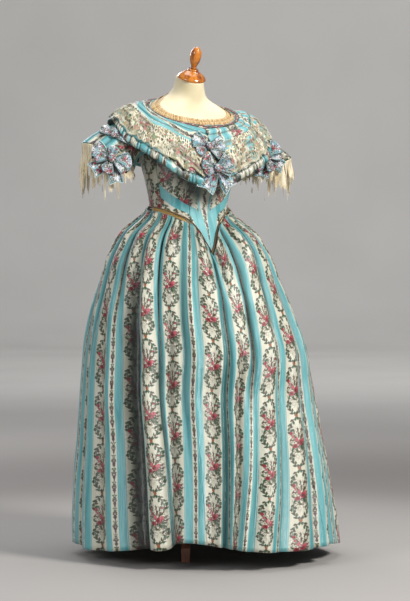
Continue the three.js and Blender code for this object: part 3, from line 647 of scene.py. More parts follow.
def gridMesh(name, patches, material):
    names = ("hollow", "rim", "away", "line")
    places, faces, corners, extra, start = [], [], [], {n: [] for n in names}, 0
    for piece in patches:
        rows, columns = piece["points"].shape[:2]
        j, i = np.meshgrid(np.arange(rows - 1), np.arange(columns if piece["closed"] else columns - 1),
                           indexing="ij")
        j, i = j.ravel(), i.ravel()
        beside = (i + 1) % columns
        faces.append(np.stack([j * columns + i, (j + 1) * columns + i, (j + 1) * columns + beside,
                               j * columns + beside], 1) + start)
        uv = piece["uv"]
        corners.append(np.stack([uv[j, i], uv[j + 1, i], uv[j + 1, i + 1], uv[j, i + 1]], 1))
        places.append(settle(piece["points"]).reshape(-1, 3) / 1000 + axis)
        for n in names:
            values = np.broadcast_to(piece["more"].get(n, 0.0), (rows, columns))
            extra[n].append(np.asarray(values, float).ravel())
        start += rows * columns
    made = addMesh(name, np.concatenate(places), np.concatenate(faces), material)
    layer = made.data.uv_layers.new(name="cloth")
    layer.data.foreach_set("uv", np.concatenate(corners).reshape(-1).astype(np.float32))
    for n in names:
        held = made.data.attributes.new(n, "FLOAT", "POINT")
        held.data.foreach_set("value", np.concatenate(extra[n]).astype(np.float32))
    made.data.update()
    return made


def flatArea(patches):
    # area of one layer, in square metres
    total = 0.0
    for piece in patches:
        p = piece["points"] / 1000
        if piece["closed"]:
            p = np.concatenate([p, p[:, :1]], 1)
        a, b = p[1:, :-1] - p[:-1, 1:], p[1:, 1:] - p[:-1, :-1]
        total += np.linalg.norm(np.cross(a, b), axis=-1).sum() / 2
    return total


def addPiece(name, patches, material, node, slot, cut=None, held="stretched", on="form_body", thick=0.8,
             inward=True):
    # cut: flat, width and length in metres, and area, square metres, where it is not a rectangle
    # thick: mm of the wall laid on the patches, 0 for a solid
    made = gridMesh(name, patches, material)
    if thick:
        shell = made.modifiers.new("shell", "SOLIDIFY")
        shell.thickness, shell.offset = thick / 1000, -1.0 if inward else 1.0
    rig.ride(made, "root")
    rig.replaces(made, node)
    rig.slot(made, slot)
    if cut:
        area = cut.get("area")
        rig.sheet(made, flat=cut["flat"], held=held, rests_on=[on], area=area)
        print(f"  {name}: lies over {flatArea(patches):.3f} m2, cut {area or math.prod(cut['flat']):.3f}")


sides = (("left", 1), ("right", -1))
halves = (("left", 0.3, 179.7), ("right", -179.7, -0.3))    # degrees from the centre front


# skirt

skirtLevels = [  # height, half width, reach ahead and behind, swing to the wearer's left
    (32, 377, 450, 369, 48), (118, 372, 437, 368, 43), (230, 362, 416, 353, 38), (345, 350, 387, 327, 33),
    (484, 336, 347, 310, 26), (602, 319, 332, 294, 21), (705, 292, 284, 267, 13), (799, 258, 240, 237, 6),
    (879, 227, 205, 206, 3), (947, 183, 165, 168, 0), (985, 150, 136, 136, 0), (1024, 124, 103, 98, 0),
]
skirtSide, skirtAhead, skirtBehind, skirtSwing = (curve(skirtLevels, k) for k in (1, 2, 3, 4))
hemHeight = curve([(-180, 36), (-110, 34), (-88, 33), (-70, 44), (-55, 56), (-46, 61), (-43.2, 77), (-34, 80),
                   (-23, 68), (-10, 56), (20, 50), (35, 52), (57, 38), (110, 34), (180, 36)])

# where the stripes lie round the skirt: degrees and repeats, at the hem and at the waist
hemStripes = np.array([
    (-180, -9), (-101, -5), (-81.2, -4), (-69.3, -3.5), (-64.7, -3.227), (-56, -2.8), (-54, -2.25),
    (-45, -1.78), (-43.5, -1.05), (-39.2, -0.773), (-34.3, -0.5), (-27.9, 0), (-21.5, 0.40), (-18.5, 1.1),
    (-15.2, 1.5), (-6, 2.0), (-0.4, 2.5), (11.3, 3.0), (25.5, 3.5), (34.4, 4.0), (58, 5.1), (180, 11),
])
wideAt = {-9: -180, -4: -96, -3: -76.4, -2: -57, -1: -37.5, 0: -10.7, 1: 6.9, 2: 27.7, 3: 48, 11: 180}
wideAngles = np.interp(np.arange(-9, 12), list(wideAt), list(wideAt.values()))
waistStripes = []
for k, place in zip(range(-9, 12), wideAngles):      # the narrow stripes are drawn in between the pleats
    gaps = np.interp([k - 0.5, k + 0.5], np.arange(-9, 12), wideAngles)
    if k != 0:
        waistStripes.append((mix(place, gaps[0], 0.84), k - 0.33))
    else:
        waistStripes += [(-23.5, -0.5), (-17.5, -0.23)]
    waistStripes.append((place, k))
    if k != -1:
        waistStripes.append((mix(place, gaps[1], 0.84), k + 0.33))
    else:
        waistStripes.append((-30, -0.77))
waistStripes = np.array(waistStripes)
repeats = np.linspace(-9, 11, 2001)
hemAngles = np.interp(repeats, hemStripes[:, 1], hemStripes[:, 0])
waistAngles = np.interp(repeats, waistStripes[:, 1], waistStripes[:, 0])
settling = mix(0.3, 0.8, ease((repeats + 2.6) / 1.4))   # how soon the cloth hangs straight down


def anglesAt(down):
    return mix(waistAngles, hemAngles, max(float(down), 0.0) ** settling)


def angleOf(line, down):
    # degrees at which one line of the cloth lies, for each share of the length
    shares = np.asarray(down, float)
    places = [np.interp(line, repeats, anglesAt(share)) for share in shares.ravel()]
    return np.array(places).reshape(shares.shape)


def stripeAt(around, down):
    # repeats at an angle, for one share of the length; past half way round, a turn is taken off
    angles = anglesAt(down)
    over = np.where(around > 180, 1, 0)
    return np.interp(around - 360 * over, angles, repeats) + 20 * over


# repeats round the cloth, half width on the right and left in degrees, mm out, shares of the length where
# it begins and ends, how much it is in the shade
skirtFolds = [
    (-2.78, 1.3, 6.2, -34, 0.02, 1.3, 0.95), (-3.0, 2.6, 4.5, -12, 0.12, 1.3, 0.68),
    (-2.05, 3.6, 2.4, 20, 0.03, 1.3, 0),
    (-1.72, 1.4, 1.2, -14, 0.2, 1.3, 0.5), (-1.05, 2.2, 1.4, -12, 0.15, 1.3, 0.35),
    (-3.62, 4, 3.5, 16, 0.06, 1.3, 0), (-4.0, 2.6, 2.6, -12, 0.1, 1.3, 0.3),
    (-4.4, 3.5, 3.5, 10, 0.2, 1.3, 0), (-0.36, 3.0, 3.0, 8, 0.2, 1.3, 0),
    (-0.72, 1.8, 2.6, -10, 0.05, 0.8, 0.35), (0.22, 1.2, 2.4, 8, 0.1, 1.3, 0),
    (0.2, 8, 7, -9, 0.35, 1.3, 0.28), (0.30, 2.4, 0.9, -12, 0.05, 1.3, 0.5),
    (0.75, 2.2, 1.6, 16, 0.2, 1.3, 0), (1.02, 2.6, 1.0, -15, 0.2, 1.3, 0.45),
    (1.45, 1.6, 2.0, -12, 0.03, 0.6, 0.6),
    (1.5, 3.0, 2.4, 9, 0.5, 1.3, 0), (1.72, 2.4, 1.1, -9, 0.35, 1.3, 0.3), (2.1, 4.0, 3.4, 13, 0.12, 1.3, 0),
    (2.45, 1.5, 2.2, -13, 0.02, 0.55, 0.6), (2.6, 3.4, 1.5, -9, 0.4, 1.3, 0.35),
    (3.08, 4, 3.4, 11, 0.15, 1.3, 0),
    (3.42, 3.0, 1.4, -11, 0.1, 1.3, 0.4), (3.8, 4, 4, 12, 0.1, 1.3, 0), (4.2, 3.4, 2.4, -15, 0.08, 1.3, 0.5),
    (5.1, 7, 6, 12, 0.1, 1.3, 0), (6.16, 4.5, 3, -19, 0.08, 1.3, 0.6), (7.1, 7, 6, 14, 0.1, 1.3, 0),
    (8.0, 3, 5, -20, 0.05, 1.3, 0.6), (8.9, 7, 6, 14, 0.1, 1.3, 0), (9.75, 4.5, 3, -22, 0.05, 1.3, 0.6),
    (10.6, 7, 6, 16, 0.05, 1.3, 0), (-8.5, 3, 5, -22, 0.05, 1.3, 0.6), (-7.6, 7, 6, 15, 0.1, 1.3, 0),
    (-6.7, 5, 3, -20, 0.08, 1.3, 0.6), (-5.8, 7, 6, 13, 0.1, 1.3, 0), (-5.05, 3, 4, -12, 0.1, 1.3, 0.5),
]
pleats = {"depth": 24, "fade": 0.5, "fine": 9}      # mm, share of the length, mm
pleatDice = np.random.default_rng(7)
pleatSize = pleatDice.uniform(0.78, 1.08, 41)    # one for each half repeat of the cloth
pleatReach = pleatDice.uniform(0.8, 1.3, 41)
pleatSize[-1], pleatReach[-1] = pleatSize[0], pleatReach[0]


def skirtWave(around, down, turns):
    # height of folds and pleats above the plain skirt, and the painted shade in their hollows
    a = wrap(around)
    total = np.zeros(np.broadcast(a, down).shape)
    hollow = np.zeros_like(total)
    for line, after, before, depth, begin, end, shade in skirtFolds:
        away = wrap(a - angleOf(line, down))
        away = away / np.where(away > 0, after, before)
        grow = ease((down - begin) / 0.3) * (1 - ease((down - end + 0.25) / 0.25))
        bell = np.exp(-away ** 2) * grow
        total += depth * bell
        if shade:
            # painted shade along the folds that are marked for it
            hollow += bell ** 1.3 * shade
    half = (turns * 2 + 18) % 40
    size, reach = (np.interp(half, np.arange(41), v) for v in (pleatSize, pleatReach))
    # a crest on each wide stripe; the narrow ones sink between, but one rides on a crest of its own
    wide = 0.5 + 0.5 * np.cos(turns * 2 * math.pi)
    every = 0.5 + 0.5 * np.cos(turns * 4 * math.pi)
    shown = np.exp(-((turns + 0.5) / 0.3) ** 2)
    wave = mix(wide ** 0.5, every ** 0.5, shown)
    fade = 1 - ease((down - 0.05) / (pleats["fade"] * reach))
    grow = 0.4 + 0.6 * ease(down / 0.05)
    fine = np.abs(np.cos(turns * 3 * math.pi + 0.5 * np.sin(turns * 5.3)))   # small pleats, three to a repeat
    soon = 1 - ease((down - 0.02) / (0.11 * reach * (0.5 + 0.6 * size)))
    total += pleats["fine"] * (fine - 0.6) * soon * grow
    # painted shade between the small pleats near the waist
    hollow += (1 - fine) ** 2 * soon * 0.9
    total += pleats["depth"] * fade * grow * size * wave
    # painted shade in the gaps between the pleats
    hollow += (1 - wave) ** 1.9 * fade ** 0.8 * (0.4 + 0.6 * ease(down / 0.015)) * 1.25
    return total, np.clip(hollow, 0, 1)


# the tape shows between the piping and the pleats: degrees, and mm below the seam
tape = {"from": -88, "to": -28, "top": 1.4, "depth": 8, "out": 3.0, "flat": (0.115, 0.01)}


def skirtTop(around):
    a = wrap(around)
    shown = ease((a - tape["from"] + 10) / 8) * (1 - ease((a - tape["to"] - 2) / 8))
    return seamLine(around, mix(0.5, tape["depth"] + 0.5, shown))


def skirtPoint(around, down, turns):
    top = skirtTop(around)
    height = mix(top, hemHeight(wrap(around)), down)
    spring = mix(skirt["spring"], skirt["frontSpring"], np.exp(-(wrap(around) / 18) ** 2))
    out = 1 - (1 - np.minimum((top - height) / spring, 1)) ** 2
    start = onForm + 0.6
    wave, hollow = skirtWave(around, down, turns)
    crease = ripple(np.radians(around) * 9 + height / 160, 3, 6, 0.6, 3.2) * 0.9 \
        + ripple(height / 34 + np.radians(around) * 14, 5, 6, 0.5, 2.0) * 0.55
    wave = wave + crease * ease(down * 4)
    side = mix(formSide(top) + start, skirtSide(height), out) + wave
    ahead = mix(formAhead(top) + start, skirtAhead(height), out) + wave
    behind = mix(formBehind(top) + start, skirtBehind(height), out) + wave
    return planPoint(side, ahead, behind, skirtSwing(height) * out, around, height), hollow


# gap: degrees between two widths; spring: mm below the seam in which the cloth comes out to its levels
# printFoot, printHead and printLength: mm along the stripes from the hem, and evenly from the waist
skirt = {"columns": 186, "rows": 80, "flat": (0.46, 0.97), "area": 0.446, "gap": 0.02,
         "spring": 75, "frontSpring": 200, "printFoot": 91, "printHead": 1000, "printLength": 960,
         "names": ["front", "side_front_left", "side_back_left", "back", "side_back_right",
                   "side_front_right"]}
for k, name in enumerate(skirt["names"]):
    middle = k * 60 - (360 if k > 3 else 0)      # degrees; each width takes a sixth of the way round
    half = 30 - skirt["gap"]
    u, v = grid(middle - half, middle + half, skirt["columns"] + 1, skirt["rows"] + 1)
    v = v ** 1.15
    turns = np.stack([stripeAt(u[0], share) for share in v[:, 0]])
    p, hollow = skirtPoint(u, v, turns)
    lengths = np.concatenate([np.zeros((1, p.shape[1])),
                              np.linalg.norm(np.diff(p, axis=0), axis=-1).cumsum(0)])
    along = mix(skirt["printFoot"] + lengths[-1:] - lengths,
                skirt["printHead"] - v * skirt["printLength"], 0.6)
    addPiece(f"skirtWidth_{name}", [patch(p, pair(turns * silk["repeat"], along), hollow=hollow)], silkLength,
             f"skirt_{name}", "silk", skirt, "gathered")
print("skirt made")


# bodice

lineOut = curve([(884, 3.5), (930, 5), (991, 10), (1071, 22), (1160, 40), (1262, 62)])
bandOut = curve([(884, 4), (926, 10), (967, 19), (1006, 33), (1030, 72), (1065, 125), (1091, 160),
                 (1140, 215)])
berthaEdge = curve([(0, 1080), (12, 1093), (24, 1120), (37, 1150), (50, 1172), (69, 1200), (80, 1238),
                    (90, 1262), (100, 1244), (111, 1212), (130, 1182), (155, 1150), (180, 1132)])


def arcOut(around, height):
    # mm along the body from the centre front
    turn = np.radians(np.abs(around))
    return (formAhead(height) + formSide(height) + 8) / 2 * turn


bodicePanels = [
    {"name": "bodice_centre_front", "from": -22, "to": 22, "flat": (0.12, 0.39), "area": 0.030},
    {"name": "bodice_side_front_left", "from": 22, "to": 66, "flat": (0.13, 0.31), "area": 0.031},
    {"name": "bodice_side_front_right", "from": -66, "to": -22, "flat": (0.13, 0.31), "area": 0.031},
    {"name": "bodice_side_left", "from": 66, "to": 114, "top": 1172, "flat": (0.13, 0.16), "area": 0.018},
    {"name": "bodice_side_right", "from": -114, "to": -66, "top": 1172, "flat": (0.13, 0.16), "area": 0.018},
    {"name": "bodice_back_left", "from": 114, "to": 180, "flat": (0.14, 0.34), "area": 0.040},
    {"name": "bodice_back_right", "from": -180, "to": -114, "flat": (0.14, 0.34), "area": 0.040},
]
for panel in bodicePanels:
    u, v = grid(panel["from"] + 0.1, panel["to"] - 0.1, 41, 71)
    height = mix(panel.get("top") or neckHeight(u), seamLine(u, 0), v)
    front = abs(panel["from"] + panel["to"]) < 100
    strain = ripple(np.radians(u) * 7 + height / 30, 11, 5, 0.6, 2.4) * 0.55
    p = bodyPoint(u, height, onForm + strain)
    arc = arcOut(u, height)
    seam = np.exp(-((u - panel["from"]) / 0.7) ** 2) + np.exp(-((u - panel["to"]) / 0.7) ** 2)
    more = {"line": 99.0, "away": 99.0}
    if front:
        slant = np.hypot(1, (bandOut(height + 4) - bandOut(height - 4)) / 8)
        more = {"line": arc - lineOut(height), "away": (arc - bandOut(height)) / slant}
    under = 1 - ease((berthaEdge(np.abs(u)) - height - 24) / 80)    # the bertha's shade, deeper on the right
    shade = under * mix(0.45, 0.98, ease((4 - u) / 14))
    across = (arc - (0 if front else 185)) * np.sign(u)
    # painted shade along the panel seams and under the bertha's edge
    addPiece(panel["name"] + "_silk",
             [patch(p, pair(across, height), hollow=np.clip(seam * 0.35 + shade, 0, 1), **more)],
             silkFront if front or "top" in panel else silkLength, panel["name"], "silk", panel)

strap = {"from": 66.1, "to": 113.9, "bottom": 1276, "flat": (0.13, 0.05), "area": 0.0045}
for side, sign in sides:
    u, v = grid(strap["from"] * sign, strap["to"] * sign, 31, 9)
    height = mix(neckHeight(u), strap["bottom"], v)
    addPiece(f"bodice_shoulder_{side}_silk", [patch(bodyPoint(u, height, onForm), pair(height, u * 2.2))],
             silkLength, f"bodice_shoulder_{side}", "silk", strap, inward=sign > 0)

piping = {"radius": 1.8, "sides": 10, "out": 1.4, "up": 0.6}
u = np.linspace(-180, 180, 361)[:-1]
p = bodyPoint(u, seamLine(u, -piping["radius"] - piping["up"]), onForm + piping["radius"] + piping["out"])
forward = unit(np.roll(p, -1, 0) - np.roll(p, 1, 0))
outward = vec(p[:, 0], p[:, 1], 0)
outward = unit(outward - forward * (outward * forward).sum(1)[:, None])
turn = np.linspace(0, 2 * math.pi, piping["sides"] + 1)[None, :, None]
upward = np.cross(forward, outward)
tube = p[:, None] + piping["radius"] * (np.cos(turn) * outward[:, None] + np.sin(turn) * upward[:, None])
tube = np.concatenate([tube, tube[:1]])
addPiece("waistPiping", [patch(tube, closed=True)], pipingCloth,
         "waist_piping", "piping", thick=0)

u, v = grid(tape["from"], tape["to"], 61, 6)
p = bodyPoint(u, seamLine(u, mix(tape["top"], tape["depth"], v)), tape["out"])
addPiece("waistTape", [patch(p, pair(u * 2, v * 8))], tapeCloth, "waist_tape", "waist_tape", tape)
print("bodice made")


# bertha: the wide collar over the shoulders

# the lower edge from above: reach in mm, and how square it is
berthaPlan = {"side": 250, "ahead": 154, "behind": 142, "square": 2.6, "flat": (0.40, 0.24), "area": 0.060}
berthaCrown = curve([(0, 1205), (45, 1268), (90, 1322), (135, 1310), (180, 1300)])


def berthaOutward(a, down):
    lie = mix(0.75, 0.2, down) * ease((a - 10) / 70)
    up = np.maximum(lie, mix(0.45, 0.05, down))
    return up, np.sqrt(1 - up * up)


def berthaPoint(around, down, out):
    around, down = np.broadcast_arrays(np.asarray(around, float), np.asarray(down, float))
    a = np.abs(wrap(around))
    s, c = np.sin(np.radians(around)), np.cos(np.radians(around))
    power = 2 / berthaPlan["square"]
    reach = np.where(c > 0, berthaPlan["ahead"], berthaPlan["behind"])
    edge = vec(berthaPlan["side"] * np.sign(s) * np.abs(s) ** power, -reach * np.sign(c) * np.abs(c) ** power,
               berthaEdge(a))
    neck = bodyPoint(around, neckHeight(around) - 1, onForm + 1.4)
    crown = vec(edge[..., 0] * 0.84, edge[..., 1] * mix(0.84, 0.96, ease((c - 0.3) / 0.6)), berthaCrown(a))
    d = down[..., None]
    p = neck * (1 - d) ** 2 + crown * 2 * d * (1 - d) + edge * d * d
    fold = np.cos(np.radians(a) * 9) * 4 * ease(down * 2) * ease((a - 24) / 12)
    up, level = berthaOutward(a, down)
    return p + (vec(s, -c, 0) * level[..., None] + vec(0, 0, up)) * (fold + out)[..., None]


# slanting folds of each front: share down at the centre and at the shoulder, half width, mm out
rightFolds = [(0.16, 0.12, 0.045, 5), (0.30, 0.24, 0.055, 7), (0.46, 0.38, 0.06, 7), (0.64, 0.56, 0.07, 5)]
leftFolds = [(0.18, 0.12, 0.05, 5), (0.36, 0.28, 0.06, 7), (0.54, 0.46, 0.06, 6), (0.70, 0.64, 0.06, 5)]
berthaPanels = [
    {"name": "bertha_front_left", "from": 0, "to": 90, "folds": leftFolds},
    {"name": "bertha_back_left", "from": 90, "to": 180, "folds": leftFolds},
    {"name": "bertha_back_right", "from": -180, "to": -90, "folds": rightFolds},
    {"name": "bertha_front_right", "from": -90, "to": 0, "folds": rightFolds},
]
for panel in berthaPanels:
    u, v = grid(panel["from"] + 0.15, panel["to"] - 0.15, 91, 61)
    share = np.abs(u) / 90      # 0 at the centre front and back, 1 on the shoulder
    share = np.where(share > 1, 2 - share, share)
    lift, dark = np.zeros((2, 61, 91))
    for centre, shoulder, wide, high in panel["folds"]:
        place = mix(centre, shoulder, share) + 0.012 * ripple(share * 6, 21, 3)
        lift += high * np.exp(-((v - place) / wide) ** 2)
        # painted shadow line just below each slanting fold
        dark += np.exp(-((v - place - wide * 1.25) / (wide * 0.32)) ** 2)
    lift += ripple(np.radians(u) * 6 + v * 9, 23, 5, 0.6, 2.5)
    if panel["to"] <= 0:        # stripes run from the shoulder to the centre front
        across = 0.10 + v * 1.12 + share * 0.32 + 0.05 * ripple(share * 7 + v * 4, 27, 4)
        along = np.abs(u) * 3.2 + 40
    else:                       # stripes run down over the shoulder in blocks
        across = np.abs(u) / 34 + 0.12 + v * 0.35 + 0.06 * ripple(v * 7 + share * 3, 29, 4)
        along = v * 190 + np.abs(u) * 0.6
    p = berthaPoint(u, v, wall + lift * ease(v * 8))
    addPiece(panel["name"] + "_silk",
             [patch(p, pair(across * silk["repeat"], along), hollow=np.clip(dark * 0.85, 0, 1))],
             silkLength, panel["name"], "silk", berthaPlan, "gathered")

# both in shares of the way down the bertha; puff and lift in mm
band = {"top": 0.89, "bottom": 1.0, "puff": 5.0, "gathers": 34, "flat": (0.70, 0.04), "area": 0.028}
flounce = {"top": 0.38, "bottom": 0.85, "lift": 4.5, "flat": (0.80, 0.09)}
for side, start, stop in halves:
    u, v = grid(start, stop, 361, 13)
    turn = np.radians(u)
    gather = np.abs(np.sin(turn * band["gathers"] + ripple(turn * 9, 31, 4) * 1.6))
    out = wall + 1.4 + 1.2 + band["puff"] * np.sin(v * math.pi) ** 0.7 * (0.3 + 0.7 * gather)
    p = berthaPoint(u, mix(band["top"], band["bottom"], v) + 0.008 * ripple(turn * 12, 33, 4), out)
    across = (0.13 if side == "left" else 0.24) + 0.05 * v + 0.15 * ripple(turn * 8, 35, 4)
    # painted shade in the gathers and along both edges of the band
    dark = (1 - gather) ** 1.1 + 0.7 * (1 - np.sin(v * math.pi)) ** 2
    addPiece(f"berthaBand_{side}",
             [patch(p, pair(across * silk["repeat"], u * 3.0), hollow=np.clip(dark, 0, 1))], silkLength,
             f"bertha_band_{side}", "silk", band, "gathered", f"bertha_front_{side}_silk", thick=0.5)
for side, start, stop in halves:
    u, v = grid(start, stop, 301, 25)
    turn = np.radians(u)
    wave = ripple(turn * 16, 41, 6, 0.8, 2.6)
    scallop = 0.022 * np.abs(np.sin(turn * 24 + 0.7 * np.sin(turn * 7))) + 0.022 * wave
    p = berthaPoint(u, mix(flounce["top"], flounce["bottom"] + scallop, v),
                    wall + 5 + flounce["lift"] * v + 2.6 * wave * v)
    # painted shade in the troughs of the flounce's waves, deeper lower down
    addPiece(f"berthaLace_{side}",
             [patch(p, pair(u * 3.4, v * 70), rim=ease((v - 0.9) / 0.05) * 0.7,
                    hollow=np.clip(-wave, 0, 1) * v * 0.8)], laceFlounce,
             f"bertha_lace_{side}", "lace", flounce, "gathered", f"bertha_front_{side}_silk", thick=0.4)
print("bertha made")


# neck: ruched edge and two tiers of lace

ruche = {"top": 0.02, "bottom": 0.10, "puff": 4.2, "gathers": 40, "flat": (0.80, 0.018)}
u, v = grid(0, 360, 481, 9)
gather = np.abs(np.sin(np.radians(u) * ruche["gathers"]))
out = wall + 0.8 + ruche["puff"] * np.sin(v * math.pi) ** 0.6 * (0.6 + 0.4 * gather)
p = berthaPoint(u, mix(ruche["top"], ruche["bottom"], v), out)
addPiece("neckRuche", [patch(p, pair(v * 12, u * 1.6), closed=True)], ruchePrint,
         "neck_ruche", "silk", ruche, "gathered", "bodice_centre_front_silk", thick=0.4)

standing = {"flat": (0.75, 0.032), "tiers": [     # mm above the neckline, mm out, and how wavy
    {"above": 15, "below": 1.0, "out": 2.6, "wave": 1.0},
    {"above": 7.0, "below": -6.0, "out": 8.2, "wave": 1.3},
]}
tiers = []
for k, tier in enumerate(standing["tiers"]):
    u, v = grid(0, 360, 421, 9)
    turn = np.radians(u)
    wave = np.sin(turn * 62 + k) * 0.5 + np.sin(turn * 23 + k) * 0.5
    height = neckHeight(u) + mix(tier["above"] + 1.6 * np.abs(np.sin(turn * 31)), tier["below"], v)
    p = bodyPoint(u, height, tier["out"] + tier["wave"] * wave * (0.4 + 0.6 * v))
    # painted shadow line along the middle of each tier
    tiers.append(patch(p, pair(u * 1.3, v * 14), closed=True,
                       rim=ease((v - 0.8) / 0.1) + ease((0.15 - v) / 0.1),
                       hollow=np.exp(-((v - 0.5) / 0.25) ** 2) * 0.5))
addPiece("neckLace", tiers, laceNeck, "neck_lace", "lace", standing, "gathered", "bodice_centre_front_silk",
         thick=0.4)
print("neck made")


# sleeves and their lace

sleeveRings = [  # number, reach to the side, height, outward tilt in degrees, half height, half depth
    (0, 165, 1222, 8, 50, 50), (1, 200, 1206, 30, 52, 54), (2, 232, 1186, 52, 66, 58),
    (3, 262, 1160, 68, 82, 64),
]
ringReach, ringHeight, ringTilt, ringHalf, ringDepth = (curve(sleeveRings, k) for k in range(1, 6))
armhole = {"height": 1222, "radius": 50}


def sleevePoint(sign, around, along, out):
    around, along, out = np.broadcast_arrays(np.asarray(around, float), along, out)
    c, s = np.cos(around * 2 * math.pi), np.sin(around * 2 * math.pi)
    at = along * 3
    tilt = np.radians(ringTilt(at))
    half, depth = ringHalf(at) + out, ringDepth(at) + out
    p = vec(ringReach(at) + half * c * np.sin(tilt), -depth * s, ringHeight(at) + half * c * np.cos(tilt))
    holeZ, holeY = armhole["height"] + (armhole["radius"] + out) * c, -(armhole["radius"] + out) * s
    gap = onForm + 0.7
    share = holeY / (np.where(holeY < 0, formAhead(holeZ), formBehind(holeZ)) + gap)
    hole = vec((formSide(holeZ) + gap) * np.sqrt(np.maximum(1 - share ** 2, 0)), holeY, holeZ)
    p = mix(hole, p, ease(at)[..., None])
    p[..., 0] *= sign
    return p


sleeve = {"flat": (0.42, 0.13), "area": 0.045, "gathers": 17, "puff": 2.2}
# heights of the fall's lower edge inside and outside the arm, and the most that its points are cut back, mm
fall = {"flat": (0.50, 0.10), "inside": 1096, "outside": 1030, "points": 52, "cutBack": 44, "wave": 9,
        "off": 2.4}


def fallPoint(sign, around, down, teeth):
    p = sleevePoint(sign, around, 1.0, fall["off"])
    around, down = np.broadcast_arrays(around, down)
    turn = around * 2 * math.pi
    bottom = mix(fall["inside"], fall["outside"], ease((0.5 + 0.5 * np.cos(turn)) * 1.5)) + teeth
    wave = ripple(turn * 4, 61, 5, 1, 3) * 0.6 + np.cos(turn * 14) * 0.4
    outward = (p - vec(sign * ringReach(3), 0, 0)) * (1, 1, 0)
    p = p + unit(outward) * (4 * down + fall["wave"] * wave * ease(down * 2) - 3 * ease(down * 4))[..., None]
    p[..., 2] = mix(p[..., 2] - 0.8, bottom, down)
    return p, wave


for side, sign in sides:
    u, v = grid(0, 1, 161, 41)
    turn = u * 2 * math.pi
    gather = np.cos(turn * sleeve["gathers"] + 0.8 * np.sin(turn * 5))
    p = sleevePoint(sign, u, v, wall + sleeve["puff"] * gather * ease(v * 3) * (1 - 0.35 * v))
    # painted shade in the troughs of the gathers
    addPiece(f"sleevePuff_{side}",
             [patch(p, pair(u * 330 - 40 * sign, v * 130), closed=True,
                    hollow=(0.5 - 0.5 * gather) ** 3 * 0.6 * ease(v * 3))], silkLength,
             f"sleeve_{side}", "silk", sleeve, "gathered", f"bodice_shoulder_{side}_silk", inward=sign > 0)

    u, v = grid(0, 1, 321, 27)
    pick = np.random.default_rng(75 if sign > 0 else 70)
    teeth = pick.uniform(0, 1, fall["points"]) ** 1.4 * fall["cutBack"]
    teeth = np.interp(u, np.linspace(0, 1, fall["points"] + 1), np.append(teeth, teeth[0]))
    teeth = teeth * ease(0.35 + 0.65 * (0.5 + 0.5 * np.cos(u * 2 * math.pi)))
    p, wave = fallPoint(sign, u, v, teeth)
    # painted shade in the troughs of the fall's waves
    dark = np.clip(-wave, 0, 1) ** 1.5 * 0.8
    addPiece(f"sleeveLace_{side}", [patch(p, pair(u * 560, v * 110), closed=True, hollow=dark)], laceFall,
             f"sleeve_lace_{side}", "lace", fall, "gathered", f"sleevePuff_{side}", thick=0.4,
             inward=sign > 0)
print("sleeves made")


# bows

def ribbon(turn, a, b, c, uv, rim, hollow):
    # a strip along a and across b, turned about the knot; c: mm out
    cs, sn = math.cos(math.radians(turn)), math.sin(math.radians(turn))
    return vec(a * cs - b * sn, a * sn + b * cs, c), uv, rim, np.clip(hollow, 0, 1)


def pinked(count):
    # mm in and out along a cut edge
    return 0.9 * (-1) ** np.arange(count)


def loop(turn, reach, wide, high, lift, seed):
    # one loop of ribbon from the knot out and back; turn in degrees, the rest in mm
    s, t = grid(-1, 1, 19, 45)
    rise = np.sin(math.pi * t)
    r = reach * rise ** 0.8 * (1 - 0.16 * s * s)
    half = mix(wide * 0.28, wide, ease(r / reach * 1.15)) + np.where(np.abs(s) > 0.99, pinked(45)[:, None], 0)
    top = high * np.sin(math.pi * np.clip(t * 1.35, 0, 1)) ** 0.7
    c = np.where(t < 0.62, top, 0) + 1.5 * rise + lift
    wave = 2.4 * np.cos(s * math.pi * 2.2 + seed) + 1.4 * np.cos(s * 9 + seed * 2)
    c = c + wave * (1 - 0.5 * r / reach) * rise * 0.9
    near = 1 - r / reach
    # painted shade near the knot, in the troughs of the ribbon's waves and over the half that turns back
    hollow = near ** 2 * 0.7 + 0.35 * (0.5 - 0.5 * np.cos(s * math.pi * 2.2 + seed)) * near
    hollow = hollow + 0.45 * (0.5 + 0.5 * np.sin(s * 7 + seed * 3)) ** 3 * (1 - (r / reach) ** 2)
    hollow = np.where(t > 0.6, np.maximum(hollow, 0.75), hollow)
    return ribbon(turn, r, s * half, c, pair(s * half + seed * 31, r + seed * 57 + t * 30), np.abs(s), hollow)


def tail(turn, reach, wide, lift, seed):
    s, t = grid(-1, 1, 19, 33)
    half = mix(wide * 0.3, wide, ease(t * 1.1)) + np.where(np.abs(s) > 0.99, pinked(33)[:, None], 0)
    r = reach * t * (1 + 0.10 * np.abs(s) * t) + np.where(t > 0.99, pinked(19)[None, :], 0)
    wave = np.cos(s * math.pi * 1.6 + seed)
    c = lift + 3 * np.sin(t * math.pi * 1.3 + seed) + 2.6 * wave * (1 - 0.4 * t) + 3 * t
    rim = np.maximum(np.abs(s), ease((t - 0.8) / 0.2))
    # painted shade near the knot and in the troughs of the ribbon's wave
    hollow = (1 - t) ** 2 * 0.6 + 0.25 * (0.5 - 0.5 * wave) * (1 - t)
    return ribbon(turn, r, s * half, c, pair(s * half + seed * 43, r + seed * 29), rim, hollow)


def knot(wide, high, thick, lift):
    t = np.linspace(0, math.pi, 15)[:, None]
    s = np.linspace(0, 2 * math.pi, 25)[None, :]
    crease = 1 + 0.10 * np.cos(s * 6)
    p = vec(wide * np.sin(t) * np.cos(s) * crease, high * np.sin(t) * np.sin(s) * crease,
            lift + thick * np.cos(t) * 0.5 + thick * 0.5)
    # the last value is painted shade in the knot's creases
    return p, pair(s * 6, t * 9), 0.0, np.clip(0.5 - 0.5 * np.cos(s * 6), 0, 1) * 0.5


